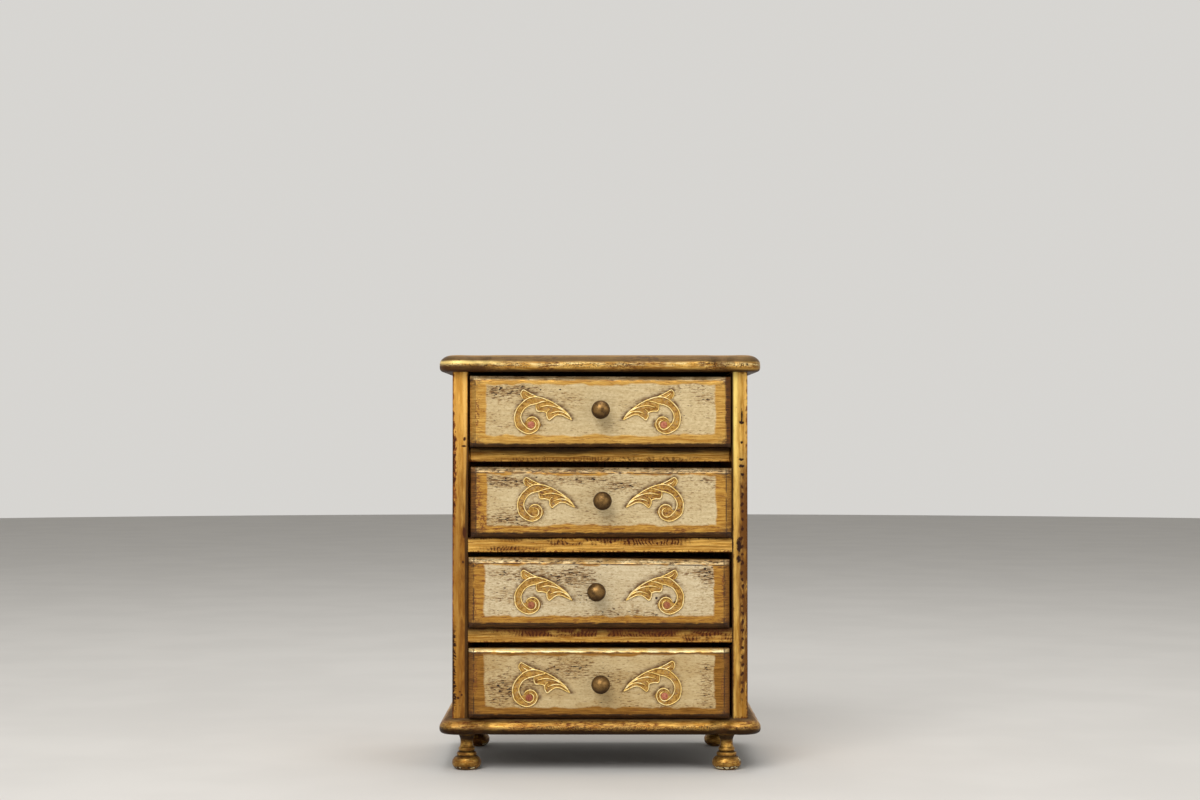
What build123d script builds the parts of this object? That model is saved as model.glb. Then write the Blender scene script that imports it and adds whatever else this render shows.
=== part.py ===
from build123d import *
import math
import os

os.makedirs("parts", exist_ok=True)

# A small gilt chest of four drawers on turned feet, with an 18-note musical movement behind the
# top drawer. Millimetres, +X to the right, the front towards -Y, +Z up. The origin is on the
# surface that it stands on, in the middle of its width and of its depth from knob to key.

# Case
board_width = 190.0
board_depth = 132.0
top_thickness = 10.0
base_thickness = 9.0
front_overhang = 8.0
side_overhang = 8.0
back_overhang = 4.0
side_thickness = 9.0
divider_thickness = 8.5
bay_height = 44.625
shelf_setback = 8.0
shelf_end_gap = 1.0
divider_back_gap = 1.0
housing_depth = 3.0
housing_setback = 14.0
joint_gap = 0.1

# Moulded edge of the two boards
lobe_radius = 12.0
recess_radius = 6.0
shoulder_radius = 8.0
lobe_turn = 40.0
upper_round = 5.5
lower_round = 2.5

# Turned feet
foot_height = 22.0
foot_left_inset = 16.0
foot_right_inset = 20.0
foot_end_inset = 17.0
sole_radius = 5.8
bulb_radius = 8.9
bulb_height = 8.0
bulb_widest = 4.4
groove_radius = 6.3
bead_radius = 7.2
bead_height = 3.2
collar_radius = 5.5
collar_height = 2.6
neck_radius = 4.1
neck_waist_rise = 2.5
foot_top_radius = 6.2
dowel_radius = 2.5
dowel_length = 7.0
dowel_gap = 0.05

# Back panel and its pins
panel_thickness = 3.0
rebate_width = 5.0
nails_per_side = 4
nail_radius = 0.6
nail_head_radius = 1.4
nail_head_height = 0.5
nail_length = 10.0
nail_end_inset = 20.0

# Drawers, from the top one down. Each, its knob and its two scrolls were placed by hand: these
# are their small errors, to the right and upwards, from where they would stand in the middle.
drawers = [
    {"shift": 0.2, "knob": (0.2, 0.9), "left": (-1.7, -0.4), "right": (-1.7, -0.4)},
    {"shift": 0.65, "knob": (0.8, 0.8), "left": (-0.4, 1.3), "right": (-0.4, 1.3)},
    {"shift": -0.65, "knob": (-1.4, 0.7), "left": (-0.7, 0.0), "right": (1.0, 0.0)},
    {"shift": -0.6, "knob": (1.0, 0.0), "left": (-2.0, -1.1), "right": (-0.5, -0.2)},
]
front_thickness = 9.0
front_proud = 5.0
front_side_gap = 1.2
front_top_gap = 2.3
front_bevel = 3.0
slide_gap = 0.3
box_inset = 0.6
box_wall = 5.0
box_height = 36.0
box_tail_gap = 3.0
bottom_thickness = 2.5
bottom_rise = 3.0
groove_depth = 2.5
felt_thickness = 1.0
felt_gap = 0.3

# Knobs
knob_radius = 5.5
knob_reach = 14.0
knob_neck_radius = 2.2
knob_flange_radius = 3.2
knob_flange_height = 1.2
knob_shank_radius = 2.0
knob_shank_length = 7.0
knob_hole_gap = 0.05

# Scroll relief on the drawer fronts. The spread and the drop are those of a volute's middle
# from the middle of the front.
scroll_height = 1.1
scroll_spread = 39.0
scroll_drop = 7.5
volute_radius = 10.0

# Musical movement. It is laid out from the inner face of the back panel: u to the right,
# v up from its centre, w towards the front.
movement_room = 26.0
plate_width = 56.0
plate_height = 40.0
plate_thickness = 2.5
plate_corner = 2.0
bearing_gap = 0.05
winding_u = -15.0
winding_v = 5.0
winding_arbor_radius = 1.6
key_length = 15.0
key_hub_radius = 3.0
key_hub_gap = 2.0
key_socket = 6.4
key_wing_radius = 4.4
key_wing_spread = 4.6
key_thickness = 2.0
key_window_radius = 1.8
key_hole_radius = 4.0
barrel_radius = 11.0
barrel_height = 8.0
barrel_wall = 0.7
barrel_lid = 0.8
spring_strip = 0.3
spring_growth = 0.46
spring_play = 0.35
spring_end_gap = 0.6
crown_gap = 0.5
crown_thickness = 1.0
crown_teeth = 30
crown_mean_radius = 9.6
crown_face = 1.8
crown_tooth_height = 1.2
crown_tooth_width = 0.95
crown_tooth_taper = 12.0
crown_hub_radius = 3.0
crown_hub_rise = 1.4
pinion_teeth = 12
pinion_addendum = 0.5
pinion_dedendum = 0.75
pinion_tooth_width = 0.76
cylinder_start = -1.2
cylinder_radius = 6.5
cylinder_wall = 0.8
cylinder_arbor_radius = 0.9
notes = 18
note_pitch = 1.0
note_margin = 1.0
pins_per_note = 5
pin_size = 0.3
pin_height = 0.7
pin_step = 77.0
tip_gap = 0.2
fine_module = 0.4
fine_addendum = 0.35
fine_dedendum = 0.45
fine_tooth_width = 0.45
tooth_foot_share = 1.3
tooth_tip_share = 0.6
great_wheel_teeth = 40
great_wheel_gap = 0.4
great_wheel_thickness = 1.2
step_pinion_teeth = 10
step_pinion_width = 1.6
step_angle = 43.1
step_arbor_radius = 0.7
worm_wheel_teeth = 20
worm_wheel_gap = 1.0
worm_wheel_width = 1.2
worm_radius = 1.2
worm_shaft_radius = 0.75
worm_thread_height = 0.35
worm_thread_root = 0.5
worm_thread_width = 0.42
worm_turns = 5
pivot_radius = 0.6
pivot_seat = 1.5
fan_radius = 3.4
fan_length = 4.0
fan_start = 15.5
fan_thickness = 0.4
fan_hub_radius = 1.1
post_thickness = 1.8
inner_post_thickness = 1.4
post_radius = 2.4
step_post_radius = 1.8
frame_gap = 0.8
frame_thickness = 1.6
frame_foot_height = 1.2
frame_foot_width = 3.8
frame_column = 3.5
frame_column_depth = 2.4
frame_column_gap = 1.4
frame_arm_gap = 0.8
frame_arm_thickness = 1.5
comb_thickness = 0.8
comb_tooth_width = 0.75
comb_root = 8.1
comb_base = 8.5
comb_ledge_margin = 0.8
comb_screw_spread = 12.0
comb_screw_radius = 1.0
comb_screw_length = 6.0
comb_head_radius = 1.8
comb_head_height = 1.2
screw_inset = 3.0
screw_radius = 1.2
screw_head_radius = 2.2
screw_head_height = 1.0
screw_gap = 0.05
wire_radius = 0.4
wire_seat = 1.5
wire_gap = 0.4
wire_bend = 1.6
wire_rise = 7.5
wire_tip_drop = 2.8
wire_inset = 2.0

# Case levels and faces
carcass_front = front_overhang - board_depth / 2
carcass_back = board_depth / 2 - back_overhang
carcass_half_width = board_width / 2 - side_overhang
opening_half_width = carcass_half_width - side_thickness
base_top = foot_height + base_thickness
bay_pitch = bay_height + divider_thickness
top_bottom = base_top + len(drawers) * bay_pitch - divider_thickness
carcass_height = top_bottom - base_top
panel_face = carcass_back - panel_thickness
bay_floors = [base_top + bay_pitch * (len(drawers) - 1 - n) for n in range(len(drawers))]


def save(piece, name):
    piece.label = name
    export_step(piece, f"parts/{name}.step")


def solid_box(low, high, mode=Mode.ADD):
    """A box between two corners, in the part that is being built."""
    size = [b - a for a, b in zip(low, high)]
    middle = [(a + b) / 2 for a, b in zip(low, high)]
    with Locations(tuple(middle)):
        Box(*size, mode=mode)


def moulded_board(bottom, thickness, upper, lower):
    """A board with a lobe at each front corner and rounded edges."""
    half, front = board_width / 2, -board_depth / 2
    lobe = Vector(half - lobe_radius, front + lobe_radius)
    toward_recess = Vector(1, 0).rotate(Axis.Z, -90 - lobe_turn)
    recess = lobe + toward_recess * (lobe_radius + recess_radius)
    toward_shoulder = Vector(1, 0).rotate(Axis.Z, 90 + lobe_turn)
    shoulder = recess + toward_shoulder * (recess_radius + shoulder_radius)
    with BuildPart() as board:
        with BuildSketch(Plane.XY.offset(bottom)):
            with BuildLine():
                corner = CenterArc((half - lobe_radius, -front - lobe_radius), lobe_radius, 90, -90)
                Line((0, -front), corner @ 0)
                end = CenterArc(lobe, lobe_radius, 0, -90 - lobe_turn)
                Line(corner @ 1, end @ 0)
                CenterArc(recess, recess_radius, 90 - lobe_turn, 2 * lobe_turn)
                last = CenterArc(shoulder, shoulder_radius, lobe_turn - 90, -lobe_turn)
                Line(last @ 1, (0, (last @ 1).Y))
                mirror(about=Plane.YZ)
            make_face()
        extrude(amount=thickness)
        fillet(board.faces().sort_by(Axis.Z)[-1].edges(), upper)
        fillet(board.faces().sort_by(Axis.Z)[0].edges(), lower)
    return board


# Top and base boards. The base is bored for the feet's dowels.
top_board = moulded_board(top_bottom, top_thickness, upper_round, lower_round)
save(top_board.part, "top_board")

foot_places = {
    "foot_front_left": (foot_left_inset - board_width / 2, foot_end_inset - board_depth / 2),
    "foot_front_right": (board_width / 2 - foot_right_inset, foot_end_inset - board_depth / 2),
    "foot_rear_left": (foot_left_inset - board_width / 2, board_depth / 2 - foot_end_inset),
    "foot_rear_right": (board_width / 2 - foot_right_inset, board_depth / 2 - foot_end_inset),
}
plain_base = moulded_board(foot_height, base_thickness, upper_round, lower_round)
with BuildPart() as base_board:
    add(plain_base.part)
    with BuildSketch(Plane.XY.offset(foot_height)):
        with Locations(*foot_places.values()):
            Circle(dowel_radius + dowel_gap)
    extrude(amount=dowel_length + dowel_gap, mode=Mode.SUBTRACT)
save(base_board.part, "base_board")

# Turned feet, each with its dowel in one piece
bead_bottom = bulb_height
collar_bottom = bead_bottom + bead_height
neck_bottom = collar_bottom + collar_height
neck_waist = neck_bottom + neck_waist_rise
for name, (x, y) in foot_places.items():
    with BuildPart() as foot:
        with BuildSketch(Plane(origin=(x, y, 0), x_dir=(1, 0, 0), z_dir=(0, -1, 0))):
            with BuildLine():
                Line((0, 0), (sole_radius, 0))
                ThreePointArc(
                    (sole_radius, 0), (bulb_radius, bulb_widest), (groove_radius, bulb_height)
                )
                ThreePointArc(
                    (groove_radius, bead_bottom),
                    (bead_radius, bead_bottom + bead_height / 2),
                    (collar_radius, collar_bottom),
                )
                ThreePointArc(
                    (collar_radius, collar_bottom),
                    (collar_radius + collar_height / 6, collar_bottom + collar_height / 2),
                    (collar_radius, neck_bottom),
                )
                Line((collar_radius, neck_bottom), (neck_radius, neck_waist))
                ThreePointArc(
                    (neck_radius, neck_waist),
                    ((neck_radius * 2 + foot_top_radius) / 3, (neck_waist + foot_height) / 2),
                    (foot_top_radius, foot_height),
                )
                Line((foot_top_radius, foot_height), (dowel_radius, foot_height))
                Line((dowel_radius, foot_height), (dowel_radius, foot_height + dowel_length))
                Line((dowel_radius, foot_height + dowel_length), (0, foot_height + dowel_length))
                Line((0, foot_height + dowel_length), (0, 0))
            make_face()
        revolve(axis=Axis((x, y, 0), (0, 0, 1)))
    save(foot.part, name)

# Sides, with housings for the dividers and a rebate for the back panel
housing_front = carcass_front + housing_setback
divider_floors = [floor + bay_height for floor in bay_floors[1:]]
nail_rise = (carcass_height - 2 * nail_end_inset) / (nails_per_side - 1)
nail_heights = [base_top + nail_end_inset + k * nail_rise for k in range(nails_per_side)]
nail_x = opening_half_width + rebate_width / 2
nail_rear = Plane(origin=(0, carcass_back, 0), x_dir=(1, 0, 0), z_dir=(0, -1, 0))
for name, side in (("left_side", -1), ("right_side", 1)):
    outer, inner = side * carcass_half_width, side * opening_half_width
    with BuildPart() as panel:
        solid_box(
            (min(outer, inner), carcass_front, base_top), (max(outer, inner), carcass_back, top_bottom)
        )
        for floor in divider_floors:
            housing = side * (opening_half_width + housing_depth)
            solid_box(
                (min(inner, housing), housing_front, floor),
                (max(inner, housing), panel_face, floor + divider_thickness),
                mode=Mode.SUBTRACT,
            )
        rebate = side * (opening_half_width + rebate_width)
        solid_box(
            (min(inner, rebate), panel_face, base_top),
            (max(inner, rebate), carcass_back, top_bottom),
            mode=Mode.SUBTRACT,
        )
        with BuildSketch(nail_rear):
            with Locations(*[(side * nail_x, z) for z in nail_heights]):
                Circle(nail_radius + joint_gap / 2)
        extrude(amount=nail_length + joint_gap, mode=Mode.SUBTRACT)
    save(panel.part, name)

# Dividers between the drawers. The uppermost, under the movement's drawer, stands back.
for n, floor in enumerate(divider_floors):
    front = carcass_front + (shelf_setback if n == 0 else 0)
    reach = opening_half_width - (shelf_end_gap if n == 0 else 0)
    back = panel_face - divider_back_gap
    tongue = opening_half_width + housing_depth - joint_gap
    top = floor + divider_thickness
    with BuildPart() as divider:
        solid_box((-reach, front, floor), (reach, back, top))
        solid_box((-tongue, housing_front + joint_gap, floor), (tongue, back, top))
    save(divider.part, f"divider_{n + 1}")

# Back panel, bored for the winding arbor, the pins and the movement's screws
movement_z = bay_floors[0] + bay_height / 2
movement = Plane(origin=(0, panel_face, movement_z), x_dir=(1, 0, 0), z_dir=(0, -1, 0))
winding_at = (winding_u, winding_v)
screw_u = plate_width / 2 - screw_inset
screw_v = plate_height / 2 - screw_inset
screw_places = [(-screw_u, -screw_v), (-screw_u, screw_v), (screw_u, screw_v)]
panel_reach = opening_half_width + rebate_width - joint_gap
with BuildPart() as back_panel:
    solid_box((-panel_reach, panel_face, base_top), (panel_reach, carcass_back, top_bottom))
    with BuildSketch(movement):
        with Locations(winding_at):
            Circle(key_hole_radius)
        with Locations(*screw_places):
            Circle(screw_radius + screw_gap)
    extrude(amount=-panel_thickness, mode=Mode.SUBTRACT)
    with BuildSketch(nail_rear):
        with Locations(*[(s * nail_x, z) for s in (-1, 1) for z in nail_heights]):
            Circle(nail_radius + joint_gap / 2)
    extrude(amount=panel_thickness, mode=Mode.SUBTRACT)
save(back_panel.part, "back_panel")

with BuildPart() as back_panel_nails:
    with BuildSketch(nail_rear):
        with Locations(*[(s * nail_x, z) for s in (-1, 1) for z in nail_heights]):
            Circle(nail_radius)
    extrude(amount=nail_length)
    with BuildSketch(nail_rear):
        with Locations(*[(s * nail_x, z) for s in (-1, 1) for z in nail_heights]):
            Circle(nail_head_radius)
    extrude(amount=-nail_head_height)
save(back_panel_nails.part, "back_panel_nails")


def scroll_outline():
    """An acanthus scroll to the left of a knob, about its volute's middle, in volute radii."""
    with BuildLine() as outline:
        Spline((2.46, 0.26), (2.02, 0.83), (1.2, 1.4), (0.22, 1.74), (-0.45, 2.08))
        Spline((-0.45, 2.08), (-0.63, 1.84), (-0.39, 1.48))
        Spline((-0.39, 1.48), (-0.84, 1.0), (-1.02, 0.4), (-0.84, -0.2), (-0.24, -0.56), (0.41, -0.34))
        Spline((0.41, -0.34), (0.57, 0.06), (0.2, 0.49), (-0.2, 0.42), (-0.34, 0.14))
        Spline((-0.34, 0.14), (-0.54, 0.12), (-0.62, 0.54), (-0.38, 1.0), (0.31, 1.29))
        Spline((0.31, 1.29), (0.25, 1.04), (0.34, 0.77))
        Spline((0.34, 0.77), (0.66, 0.76), (0.94, 0.67))
        Spline((0.94, 0.67), (0.89, 0.46), (1.05, 0.24))
        Spline((1.05, 0.24), (1.5, 0.57), (2.04, 0.42), (2.46, 0.26))
    return outline.line


# Drawers
front_width = 2 * (opening_half_width - front_side_gap)
front_height = bay_height - slide_gap - front_top_gap
front_face = carcass_front - front_proud
front_rear = front_face + front_thickness
for n, drawer in enumerate(drawers):
    x = drawer["shift"]
    bottom = bay_floors[n] + slide_gap
    middle = bottom + front_height / 2
    rear = panel_face - (movement_room if n == 0 else box_tail_gap)
    face = Plane(origin=(x, front_face, middle), x_dir=(1, 0, 0), z_dir=(0, -1, 0))
    knob_x, knob_z = x + drawer["knob"][0], middle + drawer["knob"][1]
    outer = front_width / 2 - box_inset
    inner = outer - box_wall
    groove = inner + groove_depth
    floor = bottom + bottom_rise
    floor_top = floor + bottom_thickness
    rim = bottom + box_height
    name = f"drawer_{n + 1}"

    with BuildPart() as front:
        solid_box(
            (x - front_width / 2, front_face, bottom),
            (x + front_width / 2, front_rear, bottom + front_height),
        )
        chamfer(front.faces().sort_by(Axis.Y)[0].edges(), front_bevel)
        solid_box(
            (x - groove, front_rear - groove_depth, floor), (x + groove, front_rear, floor_top),
            mode=Mode.SUBTRACT,
        )
        with BuildSketch(face):
            with Locations((knob_x - x, knob_z - middle)):
                Circle(knob_shank_radius + knob_hole_gap)
        extrude(amount=-knob_shank_length - knob_hole_gap, mode=Mode.SUBTRACT)
    save(front.part, f"{name}_front")

    for label, side in (("left_side", -1), ("right_side", 1)):
        near, far, slot = x + side * inner, x + side * outer, x + side * groove
        with BuildPart() as wall:
            solid_box((min(near, far), front_rear, bottom), (max(near, far), rear, rim))
            solid_box(
                (min(near, slot), front_rear, floor), (max(near, slot), rear, floor_top),
                mode=Mode.SUBTRACT,
            )
        save(wall.part, f"{name}_{label}")

    with BuildPart() as back:
        solid_box((x - inner, rear - box_wall, bottom), (x + inner, rear, rim))
        solid_box(
            (x - inner, rear - box_wall, floor), (x + inner, rear - box_wall + groove_depth, floor_top),
            mode=Mode.SUBTRACT,
        )
    save(back.part, f"{name}_back")

    # The bottom sits in the grooves of the front, the sides and the back.
    bottom_reach = groove - joint_gap
    bottom_front = front_rear - groove_depth + joint_gap
    bottom_rear = rear - box_wall + groove_depth - joint_gap
    with BuildPart() as bottom_board:
        solid_box((x - bottom_reach, front_rear, floor), (x + bottom_reach, rear - box_wall, floor_top))
        solid_box((x - inner, bottom_front, floor), (x + inner, bottom_rear, floor_top))
    save(bottom_board.part, f"{name}_bottom")

    with BuildPart() as felt:
        solid_box(
            (x - inner + felt_gap, front_rear + felt_gap, floor_top),
            (x + inner - felt_gap, rear - box_wall - felt_gap, floor_top + felt_thickness),
        )
    save(felt.part, f"{name}_felt")

    # Turned brass knob: ball, neck, flange and the shank in the front
    ball_y = front_face - knob_reach + knob_radius
    flange_y = front_face - knob_flange_height
    neck_y = ball_y + math.sqrt(knob_radius**2 - knob_neck_radius**2)
    with BuildPart() as knob:
        with BuildSketch(Plane.XY.offset(knob_z)):
            with BuildLine():
                ThreePointArc(
                    (knob_x, ball_y - knob_radius),
                    (knob_x + knob_radius, ball_y),
                    (knob_x + knob_neck_radius, neck_y),
                )
                Polyline(
                    (knob_x + knob_neck_radius, neck_y),
                    (knob_x + knob_neck_radius, flange_y),
                    (knob_x + knob_flange_radius, flange_y),
                    (knob_x + knob_flange_radius, front_face),
                    (knob_x + knob_shank_radius, front_face),
                    (knob_x + knob_shank_radius, front_face + knob_shank_length),
                    (knob_x, front_face + knob_shank_length),
                    (knob_x, ball_y - knob_radius),
                )
            make_face()
        revolve(axis=Axis((knob_x, 0, knob_z), (0, 1, 0)))
    save(knob.part, f"{name}_knob")

    # The pair of raised scrolls, the right one mirrored
    plain_scroll = make_face(scroll_outline().edges(), mode=Mode.PRIVATE)
    left_scroll = scale(plain_scroll, by=volute_radius, mode=Mode.PRIVATE)
    left_x, left_z = drawer["left"]
    right_x, right_z = drawer["right"]
    with BuildPart() as scrolls:
        with BuildSketch(face):
            with Locations((left_x - scroll_spread, left_z - scroll_drop)):
                add(left_scroll)
            with Locations((right_x + scroll_spread, right_z - scroll_drop)):
                add(mirror(left_scroll, about=Plane.YZ, mode=Mode.PRIVATE))
        extrude(amount=scroll_height)
    save(scrolls.part, f"{name}_scrolls")


# Movement levels, from the back panel forwards
barrel_top = plate_thickness + barrel_height
crown_bottom = barrel_top + crown_gap
crown_top = crown_bottom + crown_thickness
pinion_radius = crown_mean_radius * pinion_teeth / crown_teeth
cylinder_w = crown_top + crown_tooth_height / 2 + pinion_radius
cylinder_v = winding_v
cylinder_length = (notes - 1) * note_pitch + 2 * note_margin + note_pitch
cylinder_end = cylinder_start + cylinder_length
great_wheel_start = cylinder_end + great_wheel_gap
great_radius = fine_module * great_wheel_teeth / 2
step_pinion_radius = fine_module * step_pinion_teeth / 2
step_distance = great_radius + step_pinion_radius
step_v = cylinder_v - step_distance * math.cos(math.radians(step_angle))
step_w = cylinder_w - step_distance * math.sin(math.radians(step_angle))
step_pinion_start = great_wheel_start - (step_pinion_width - great_wheel_thickness) / 2
worm_wheel_start = step_pinion_start + step_pinion_width + worm_wheel_gap
worm_wheel_radius = fine_module * worm_wheel_teeth / 2
worm_pitch = math.pi * fine_module
worm_u = worm_wheel_start + worm_wheel_width / 2
worm_v = step_v - worm_wheel_radius - worm_radius
frame_start = worm_wheel_start + worm_wheel_width + frame_gap
frame_end = frame_start + frame_thickness
arm_bottom = fan_start + fan_length + frame_arm_gap
arm_top = arm_bottom + frame_arm_thickness
column_top_v = worm_v - fan_radius - frame_column_gap
column_low_v = column_top_v - frame_column_depth
comb_u = (cylinder_start + cylinder_end) / 2
comb_width = cylinder_length - note_margin
tip_v = cylinder_v - cylinder_radius - pin_height - tip_gap
comb_root_v = tip_v - comb_root
comb_bottom = cylinder_w - comb_thickness / 2
comb_screw_v = comb_root_v - comb_base / 2
inner_post_start = step_pinion_start - inner_post_thickness - frame_gap
post_start = cylinder_start - post_thickness - frame_gap
pinion_start = winding_u + crown_mean_radius - crown_face / 2
wire_u = plate_width / 2 - wire_inset
wire_v = -screw_v


def across(u):
    """A plane square to the cylinder's axis: x is v, y is w."""
    return Plane(origin=(u, panel_face, movement_z), x_dir=(0, 0, 1), z_dir=(1, 0, 0))


def toothed_disc(centre, teeth, radius, addendum, dedendum, width, start):
    """A wheel's outline with plain tapered teeth, in the sketch that is being drawn."""
    foot_depth = dedendum * tooth_foot_share
    with Locations(centre):
        Circle(radius - dedendum)
    with Locations(centre):
        with PolarLocations(radius, teeth, start_angle=start):
            Polygon(
                (-foot_depth, -width * tooth_foot_share / 2),
                (addendum, -width * tooth_tip_share / 2),
                (addendum, width * tooth_tip_share / 2),
                (-foot_depth, width * tooth_foot_share / 2),
                align=None,
            )


def post(v, w, radius, foot):
    """An upright with a round head about a bearing, in the sketch that is being drawn."""
    with Locations((v, foot)):
        Rectangle(2 * radius, w - foot, align=(Align.CENTER, Align.MIN))
    with Locations((v, w)):
        Circle(radius)


# Cast bedplate with the cylinder's left bearing, the step arbor's inner bearing and the ledge
# that the comb is screwed to
with BuildPart() as movement_bedplate:
    with BuildSketch(movement):
        Rectangle(plate_width, plate_height)
    extrude(amount=plate_thickness)
    fillet(movement_bedplate.edges().filter_by(Axis.Y), plate_corner)
    with BuildSketch(across(post_start)):
        post(cylinder_v, cylinder_w, post_radius, plate_thickness / 2)
    extrude(amount=post_thickness)
    with BuildSketch(across(inner_post_start)):
        post(step_v, step_w, step_post_radius, plate_thickness / 2)
    extrude(amount=inner_post_thickness)
    with BuildSketch(movement.offset(plate_thickness / 2)):
        with Locations((comb_u, comb_screw_v)):
            Rectangle(comb_width + comb_ledge_margin, comb_base - comb_ledge_margin)
    extrude(amount=comb_bottom - plate_thickness / 2)
    with BuildSketch(across(post_start)):
        with Locations((cylinder_v, cylinder_w)):
            Circle(cylinder_arbor_radius + bearing_gap)
    extrude(amount=post_thickness, mode=Mode.SUBTRACT)
    with BuildSketch(across(inner_post_start)):
        with Locations((step_v, step_w)):
            Circle(step_arbor_radius + bearing_gap)
    extrude(amount=inner_post_thickness, mode=Mode.SUBTRACT)
    with BuildSketch(movement):
        with Locations(winding_at):
            Circle(winding_arbor_radius + bearing_gap)
        with Locations(*screw_places):
            Circle(screw_radius + screw_gap)
    extrude(amount=plate_thickness, mode=Mode.SUBTRACT)
    with BuildSketch(movement.offset(plate_thickness)):
        with Locations((worm_u, worm_v)):
            Circle(pivot_radius + bearing_gap)
        with Locations((wire_u, wire_v)):
            Circle(wire_radius + bearing_gap)
    extrude(amount=-pivot_seat - bearing_gap, mode=Mode.SUBTRACT)
    with BuildSketch(movement.offset(comb_bottom)):
        with Locations((comb_u - comb_screw_spread / 2, comb_screw_v)):
            with GridLocations(comb_screw_spread, 1, 2, 1, align=(Align.MIN, Align.CENTER)):
                Circle(comb_screw_radius + screw_gap)
    extrude(amount=-comb_screw_length, mode=Mode.SUBTRACT)
save(movement_bedplate.part, "movement_bedplate")

with BuildPart() as movement_screws:
    with BuildSketch(movement.offset(-panel_thickness)):
        with Locations(*screw_places):
            Circle(screw_radius)
    extrude(amount=panel_thickness + plate_thickness - screw_gap)
    with BuildSketch(movement.offset(-panel_thickness)):
        with Locations(*screw_places):
            Circle(screw_head_radius)
    extrude(amount=-screw_head_height)
save(movement_screws.part, "movement_screws")

# Spring barrel, open towards the bedplate, and the coiled mainspring in it
with BuildPart() as spring_barrel:
    with BuildSketch(movement.offset(plate_thickness)):
        with Locations(winding_at):
            Circle(barrel_radius)
    extrude(amount=barrel_height)
    with BuildSketch(movement.offset(plate_thickness)):
        with Locations(winding_at):
            Circle(barrel_radius - barrel_wall)
    extrude(amount=barrel_height - barrel_lid, mode=Mode.SUBTRACT)
    with BuildSketch(movement.offset(plate_thickness)):
        with Locations(winding_at):
            Circle(winding_arbor_radius + bearing_gap)
    extrude(amount=barrel_height, mode=Mode.SUBTRACT)
save(spring_barrel.part, "spring_barrel")

spring_inner = winding_arbor_radius + spring_play + spring_strip / 2
spring_outer = barrel_radius - barrel_wall - spring_play - spring_strip / 2
half_turns = int((spring_outer - spring_inner) / spring_growth)
with BuildPart() as mainspring:
    with BuildSketch(movement.offset(plate_thickness + spring_end_gap)):
        with BuildLine():
            for k in range(half_turns):
                side = 1 if k % 2 else -1
                middle = (winding_u + side * spring_growth / 2, winding_v)
                CenterArc(middle, spring_inner + k * spring_growth, 180 if k % 2 else 0, 180)
        trace(line_width=spring_strip)
    extrude(amount=barrel_height - barrel_lid - 2 * spring_end_gap)
save(mainspring.part, "mainspring")

# Winding key, its arbor and the crown wheel turn together.
arbor_rear = key_hub_gap + key_socket
with BuildPart() as winding_arbor:
    with BuildSketch(movement.offset(-panel_thickness - arbor_rear)):
        with Locations(winding_at):
            Circle(winding_arbor_radius)
    extrude(amount=panel_thickness + arbor_rear + crown_top + crown_hub_rise)
save(winding_arbor.part, "winding_arbor")

with BuildPart() as crown_wheel:
    with BuildSketch(movement.offset(crown_bottom)):
        with Locations(winding_at):
            Circle(crown_mean_radius + crown_face / 2)
    extrude(amount=crown_thickness)
    with BuildSketch(movement.offset(crown_top)):
        with Locations(winding_at):
            with PolarLocations(crown_mean_radius, crown_teeth, start_angle=180 / crown_teeth):
                Rectangle(crown_face, crown_tooth_width)
    extrude(amount=crown_tooth_height, taper=crown_tooth_taper)
    with BuildSketch(movement.offset(crown_bottom)):
        with Locations(winding_at):
            Circle(crown_hub_radius)
    extrude(amount=crown_thickness + crown_hub_rise)
    with BuildSketch(movement.offset(crown_bottom)):
        with Locations(winding_at):
            Circle(winding_arbor_radius + screw_gap)
    extrude(amount=crown_thickness + crown_hub_rise, mode=Mode.SUBTRACT)
save(crown_wheel.part, "crown_wheel")

key_z = movement_z + winding_v
key_tip = carcass_back + key_length
wing_y = key_tip - key_wing_radius
with BuildPart() as winding_key:
    with BuildSketch(Plane.XY.offset(key_z - key_thickness / 2)):
        with Locations((winding_u - key_wing_spread, wing_y), (winding_u + key_wing_spread, wing_y)):
            Circle(key_wing_radius)
        with Locations((winding_u, wing_y)):
            Rectangle(2 * key_wing_spread, key_wing_radius)
        with Locations((winding_u - key_wing_spread, wing_y), (winding_u + key_wing_spread, wing_y)):
            Circle(key_window_radius, mode=Mode.SUBTRACT)
    extrude(amount=key_thickness)
    with BuildSketch(movement.offset(-panel_thickness - key_hub_gap)):
        with Locations(winding_at):
            Circle(key_hub_radius)
    extrude(amount=-(key_length - key_hub_gap - key_wing_radius))
    with BuildSketch(movement.offset(-panel_thickness - key_hub_gap)):
        with Locations(winding_at):
            Circle(winding_arbor_radius + screw_gap)
    extrude(amount=-key_socket - screw_gap, mode=Mode.SUBTRACT)
save(winding_key.part, "winding_key")

# Pinned cylinder on its arbor, which carries the pinion and the great wheel
with BuildPart() as music_cylinder:
    with BuildSketch(across(cylinder_start)):
        with Locations((cylinder_v, cylinder_w)):
            Circle(cylinder_radius)
    extrude(amount=cylinder_length)
    with BuildSketch(across(cylinder_start + cylinder_wall)):
        with Locations((cylinder_v, cylinder_w)):
            Circle(cylinder_radius - cylinder_wall)
    extrude(amount=cylinder_length - 2 * cylinder_wall, mode=Mode.SUBTRACT)
    with BuildSketch(across(cylinder_start)):
        with Locations((cylinder_v, cylinder_w)):
            Circle(cylinder_arbor_radius + screw_gap)
    extrude(amount=cylinder_length, mode=Mode.SUBTRACT)
    for k in range(notes):
        note_u = comb_u + (k - (notes - 1) / 2) * note_pitch
        with BuildSketch(across(note_u - pin_size / 2)):
            with Locations((cylinder_v, cylinder_w)):
                with PolarLocations(cylinder_radius, pins_per_note, start_angle=k * pin_step):
                    Rectangle(2 * pin_height, pin_size)
        extrude(amount=pin_size)
save(music_cylinder.part, "music_cylinder")

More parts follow.
